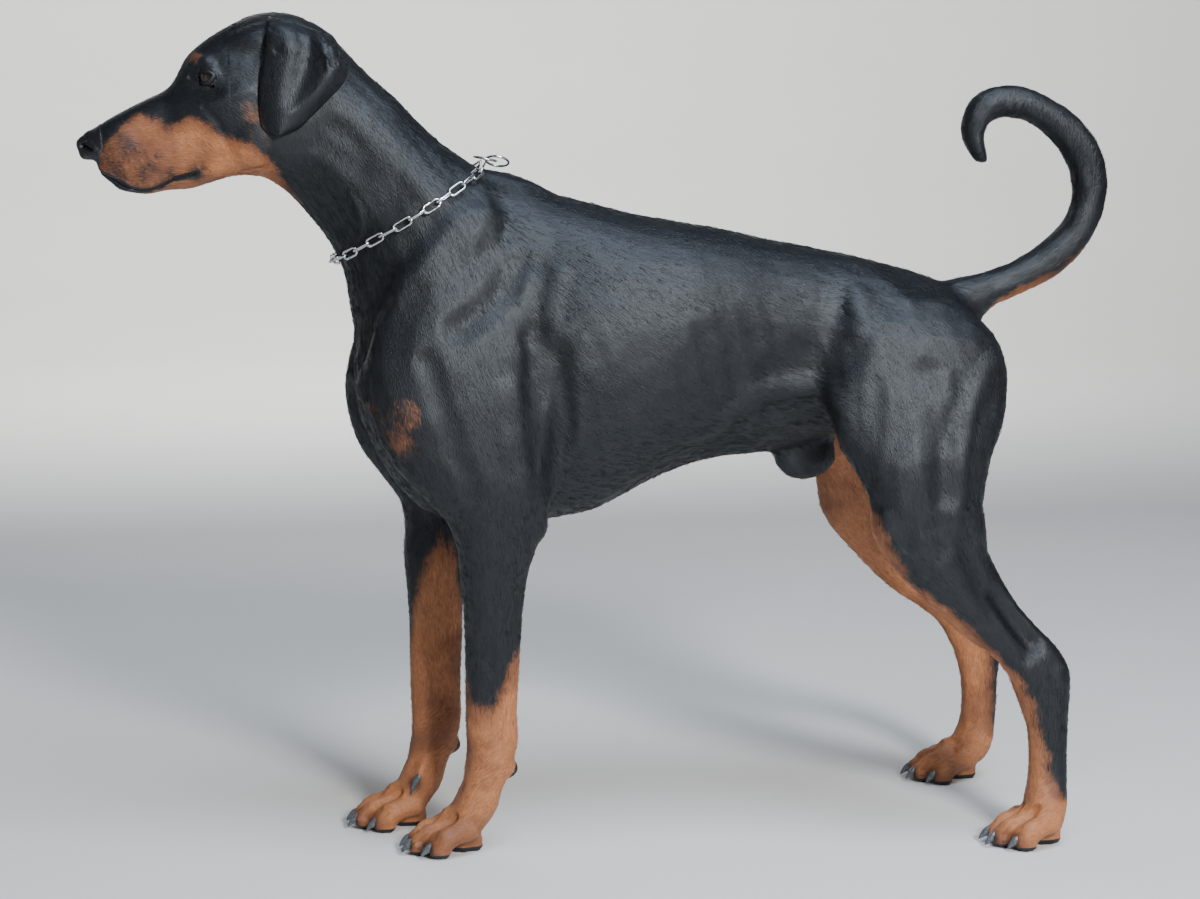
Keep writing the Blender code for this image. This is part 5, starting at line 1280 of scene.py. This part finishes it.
def make_lids(side_name):
    """Both lids as one thick band round an almond opening, lying on the eyeball and sunk in the skin."""
    middle, gaze = eye_frame(SIDES[side_name])
    up = Vector((0, 0, 1))
    up = (up - gaze * up.dot(gaze)).normalized()
    back = gaze.cross(up) * -SIDES[side_name]
    rings = []
    for out, height in LID_RINGS:
        ring = []
        for i in range(LID_CORNERS):
            turn = 2 * math.pi * i / LID_CORNERS
            level, rise = math.cos(turn), math.sin(turn)
            wide = LID_OPENING[0] * level
            high = LID_OPENING[1] * math.copysign(abs(rise) ** (1 / LID_POINT), rise)
            lean = wide * math.sin(LID_TILT)
            angle = math.hypot(wide, high) + out
            away = (back * wide + up * (high + lean)).normalized()
            ring.append(middle + (gaze * math.cos(angle) + away * math.sin(angle)) * (EYE_RADIUS + height))
        rings.append(ring)
    bm = bmesh.new()
    bridge(bm, rings, closed=True)
    bmesh.ops.recalc_face_normals(bm, faces=bm.faces)
    return object_from(f"lids_{side_name}", bm)


def laid_on(surface, point, height, hug):
    """The point, lifted where it would lie less than height above the skin, and with hug 1 just at
    that height."""
    place, normal = surface.nearest(point)
    free = max(height, (point - place).dot(normal))
    return place + normal * (free + (height - free) * hug)


def hump(across, place, width, height):
    return height * math.exp(-(((across - place) / width) ** 2))


def ear_section(surface, row, down, side):
    """Points round one cross-section of the ear: bowed out, with a long fold and a bulge behind it."""
    front = Vector(row[:3])
    rear = Vector(row[3:])
    outer = []
    inner = []
    free = min(1.0, down / EAR_ROOT_SHARE)
    free = free * free * (3 - 2 * free)
    clear = EAR_CLEARANCE * free - EAR_ROOT_SINK * (1 - free)
    camber = EAR_CAMBER * min(1.0, EAR_ROOT_CAMBER + EAR_CAMBER_RATE * down)
    folding = math.sin(math.pi * min(1, down * EAR_FOLD_RATE)) ** 0.7
    for s in np.linspace(0, 1, EAR_STEPS + 1):
        arch = max(0.0, math.sin(math.pi * s))
        bow = camber * arch**0.8 + (hump(s, **EAR_FOLD) + hump(s, **EAR_REAR_BULGE)) * folding
        thick = EAR_THICKNESS * (EAR_EDGE_THICKNESS + (1 - EAR_EDGE_THICKNESS) * arch**0.5)
        middle = front.lerp(rear, s) + Vector((0, bow, 0))
        middle.y *= side
        half = Vector((0, side * thick / 2, 0))
        inner.append(laid_on(surface, middle - half, clear, 1 - free))
        outer.append(laid_on(surface, middle + half, clear + thick, 1 - free))
    return outer + inner[::-1]


def make_ear(side_name, surface):
    rows = smooth_rows([(*front, *rear) for front, rear in EAR], EAR_ROWS_BETWEEN)
    side = SIDES[side_name]
    rings = [ear_section(surface, row, i / (len(rows) - 1), side) for i, row in enumerate(rows)]
    bm = bmesh.new()
    loops = bridge(bm, rings)
    bm.faces.new(loops[0])
    bm.faces.new(loops[-1][::-1])
    bmesh.ops.recalc_face_normals(bm, faces=bm.faces)
    ear = object_from(f"skin_ear_{side_name}", bm)
    soften(ear.data, EAR_EVENINGS, np.ones(len(ear.data.vertices)))
    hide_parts(f"ear_{side_name}")
    return ear


def add_link(bm, middle, along, out, length, width, bends, corners):
    """One link: a wire bent into a long closed loop. along is its long way, out its flat's normal."""
    along = along.normalized()
    out = (out - along * out.dot(along)).normalized()
    across = out.cross(along)
    radius = (width - WIRE) / 2
    straight = (length - width) / 2
    rings = []
    for i in range(bends):
        turn = 2 * math.pi * (i + 0.5) / bends
        outward = along * math.cos(turn) + across * math.sin(turn)
        point = middle + along * math.copysign(straight, math.cos(turn)) + outward * radius
        rolls = [2 * math.pi * j / corners for j in range(corners)]
        rings.append([point + (outward * math.cos(t) + out * math.sin(t)) * WIRE / 2 for t in rolls])
    bridge(bm, rings, closed=True)


def stood_off(surface, point, nape):
    """The point moved out to the chain's height over the skin, which is greater near the nape."""
    place, normal = surface.nearest(point)
    lift = RING_LIFT * max(0.0, 1 - (point.y / RING_DIAMETER) ** 2)
    if (point - nape).length > 2 * RING_DIAMETER:
        lift = 0.0
    return place + normal * max(COLLAR_STAND_OFF + lift, (point - place).dot(normal))


def collar_route(surface):
    """Points just off the skin all the way round the neck, from the nape, near the collar's plane."""
    front = Vector((COLLAR_FRONT[0], 0, COLLAR_FRONT[1]))
    back = Vector((COLLAR_BACK[0], 0, COLLAR_BACK[1]))
    middle = (front + back) / 2
    ahead = (front - back).normalized()
    across = Vector((0, 1, 0))
    route = []
    for i in range(ROUTE_POINTS):
        turn = 2 * math.pi * i / ROUTE_POINTS
        ray = -ahead * math.cos(turn) + across * math.sin(turn)
        route.append(middle + ray * surface.reach(middle, ray))
    for _ in range(ROUTE_EVENINGS):
        beside = zip(route[-1:] + route[:-1], route, route[1:] + route[:1])
        route = [stood_off(surface, (last + here * 2 + after) / 4, back) for last, here, after in beside]
    return route


def make_collar(surface, material):
    """The chain link by link, in one piece for each arc of the solids, and the two rings."""
    route = collar_route(surface)
    points = np.array([tuple(p) for p in route] + [tuple(route[0])])
    lengths = np.concatenate([[0], np.cumsum(np.linalg.norm(np.diff(points, axis=0), axis=1))])

    def at(distance):
        return Vector([np.interp(distance % lengths[-1], lengths, points[:, k]) for k in range(3)])

    room = lengths[-1] - 2 * RING_PITCH
    links = int(room / TIGHT_PITCH) + 1
    links -= 1 - links % 2
    arcs = math.ceil(links / LINKS_IN_ARC)
    between_arcs = (arcs - 1) * LOOSE_PITCH
    tight = min(TIGHT_PITCH, (room - between_arcs) / (links - arcs))
    distance = RING_PITCH + (room - (links - arcs) * tight - between_arcs) / 2
    made = []
    number = 0
    for arc in range(arcs):
        bm = bmesh.new()
        for _ in range(min(LINKS_IN_ARC, links - number)):
            here = at(distance)
            along = at(distance + LINK_LOOK) - at(distance - LINK_LOOK)
            _, out = surface.nearest(here)
            flat = out if number % 2 else out.cross(along)
            add_link(bm, here, along, flat, LINK_LENGTH, LINK_WIDTH, **LINK_STEPS)
            number += 1
            distance += tight
        distance += LOOSE_PITCH - tight
        made.append((object_from(f"links_{arc + 1}", bm), f"collar_chain_{arc + 1}"))
    top = at(0.0)
    _, out = surface.nearest(top)
    across = Vector((0, 1, 0))
    rearward = across.cross(out).normalized()
    lean = (across * RING_LEAN[0] + out * RING_LEAN[1]).normalized()
    for number, middle, along, flat in (
        (1, top, across, out),
        (2, top + rearward * RING_STEP, rearward, lean),
    ):
        bm = bmesh.new()
        add_link(bm, middle, along, flat, RING_DIAMETER, RING_DIAMETER, **RING_STEPS)
        made.append((object_from(f"ring_{number}", bm), f"collar_ring_{number}"))
    for obj, node in made:
        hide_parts(node)
        dress(obj, material)
    return [obj for obj, _ in made]


def make_claw(node, material):
    """The claw's solid, thicker, rounder and bent down to its tip, and but for a dewclaw shorter."""
    bm = solid_copy(node)
    points = np.array([vertex.co for vertex in bm.verts])
    middle = points.mean(axis=0)
    way = np.linalg.svd(points - middle)[2][0]
    way *= -np.sign(way[0] + way[2])
    along = (points - middle) @ way
    across = points - middle - along[:, None] * way
    t = np.clip((along - along.min()) / np.ptp(along), 0, 1)
    girth, reach = (DEWCLAW_GIRTH, 1) if node.endswith("1") else (CLAW_GIRTH, CLAW_REACH)
    along = along.min() + (along - along.min()) * reach
    points = middle + along[:, None] * way + across * girth
    points[:, 2] -= CLAW_BEND * t**2
    for vertex, point in zip(bm.verts, points):
        vertex.co = point
    claw = object_from(f"horn_{node}", bm)
    rounding = claw.modifiers.new("rounding", "SUBSURF")
    rounding.levels = CLAW_ROUNDING
    rounding.render_levels = CLAW_ROUNDING
    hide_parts(node)
    dress(claw, material)
    return claw


# Stage

def make_camera():
    back = Vector((
        math.sin(CAMERA_AZIMUTH) * math.cos(CAMERA_PITCH),
        -math.cos(CAMERA_AZIMUTH) * math.cos(CAMERA_PITCH),
        math.sin(CAMERA_PITCH),
    ))
    right = Vector((0, 0, 1)).cross(back).normalized()
    up = back.cross(right)
    data = bpy.data.cameras.new("camera")
    data.lens = CAMERA_LENS
    data.sensor_width = SENSOR_WIDTH
    camera = new_object("camera", data)
    turn = Matrix((right, up, back)).transposed().to_4x4()
    camera.matrix_world = Matrix.Translation(CAMERA_PLACE) @ turn
    bpy.context.scene.camera = camera


def make_lights():
    for name, light in LIGHTS.items():
        data = bpy.data.lights.new(name, "AREA")
        data.shape = "DISK"
        data.size = light["size"]
        data.energy = light["watts"]
        data.color = light["colour"]
        obj = new_object(name, data)
        obj.location = light["place"]
        aim = Vector(light["aim"]) - Vector(light["place"])
        obj.rotation_mode = "QUATERNION"
        obj.rotation_quaternion = aim.to_track_quat("-Z", "Y")
    world = bpy.data.worlds.new("studio")
    world.use_nodes = True
    background = world.node_tree.nodes["Background"]
    background.inputs["Color"].default_value = (*WORLD_COLOUR, 1)
    background.inputs["Strength"].default_value = WORLD_STRENGTH
    bpy.context.scene.world = world


def make_floor():
    """A pale floor that runs up into a round backdrop."""
    bm = bmesh.new()
    turns = [2 * math.pi * i / BOWL_CORNERS for i in range(BOWL_CORNERS)]
    rings = [[(radius * math.cos(t), radius * math.sin(t), height) for t in turns] for radius, height in BOWL]
    loops = bridge(bm, rings[::-1])
    bm.faces.new(loops[-1])
    floor = object_from("floor", bm)
    floor.data.shade_smooth()
    floor.data.materials.append(floor_material())


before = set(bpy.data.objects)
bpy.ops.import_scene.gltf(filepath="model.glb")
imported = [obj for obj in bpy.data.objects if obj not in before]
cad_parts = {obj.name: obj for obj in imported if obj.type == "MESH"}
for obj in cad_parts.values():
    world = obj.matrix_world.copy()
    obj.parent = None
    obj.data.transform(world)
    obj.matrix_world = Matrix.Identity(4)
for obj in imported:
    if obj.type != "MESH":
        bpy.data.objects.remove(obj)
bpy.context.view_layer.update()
make_camera()
make_lights()
make_floor()

random = np.random.default_rng(COAT_SEED)
LEG_AXES = {
    (leg, side_name): leg_axis([f"{part}_{side_name}" for part in parts])
    for leg, parts in {"fore": ("forearm", "forepaw"), "hind": ("thigh", "shank", "hindpaw")}.items()
    for side_name in SIDES
}
CLAW_PLACES = {
    node: read_points(obj.data).mean(axis=0) + CENTRE
    for node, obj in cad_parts.items() if node.startswith("claw")
}

skin, skin_surface = make_skin()
ears = [make_ear(side_name, skin_surface) for side_name in SIDES]
hide = coat_material("coat_and_leather", bare=True)
hair = coat_material("coat_hair", bare=False)
lids = [make_lids(side_name) for side_name in SIDES]
for obj in [skin, *ears, *lids]:
    points = read_points(obj.data)
    paint(obj.data, points, read_normals(obj.data), np.full(len(points), 0.5))
    dress(obj, hide)
coats = make_coat(skin.data)
coats += [make_ear_coat(side_name, ear) for side_name, ear in zip(SIDES, ears)]
for obj in coats:
    dress(obj, hair)
eyes = [make_eye(side_name) for side_name in SIDES]
horn = claw_material()
claws = [make_claw(node, horn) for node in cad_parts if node.startswith("claw")]
collar = make_collar(skin_surface, steel_material())

for obj in [skin, *ears, *lids, *coats, *eyes, *claws, *collar]:
    obj.data.transform(Matrix.Translation(-CENTRE))
    obj.data.shade_smooth()
    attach(obj, "root")
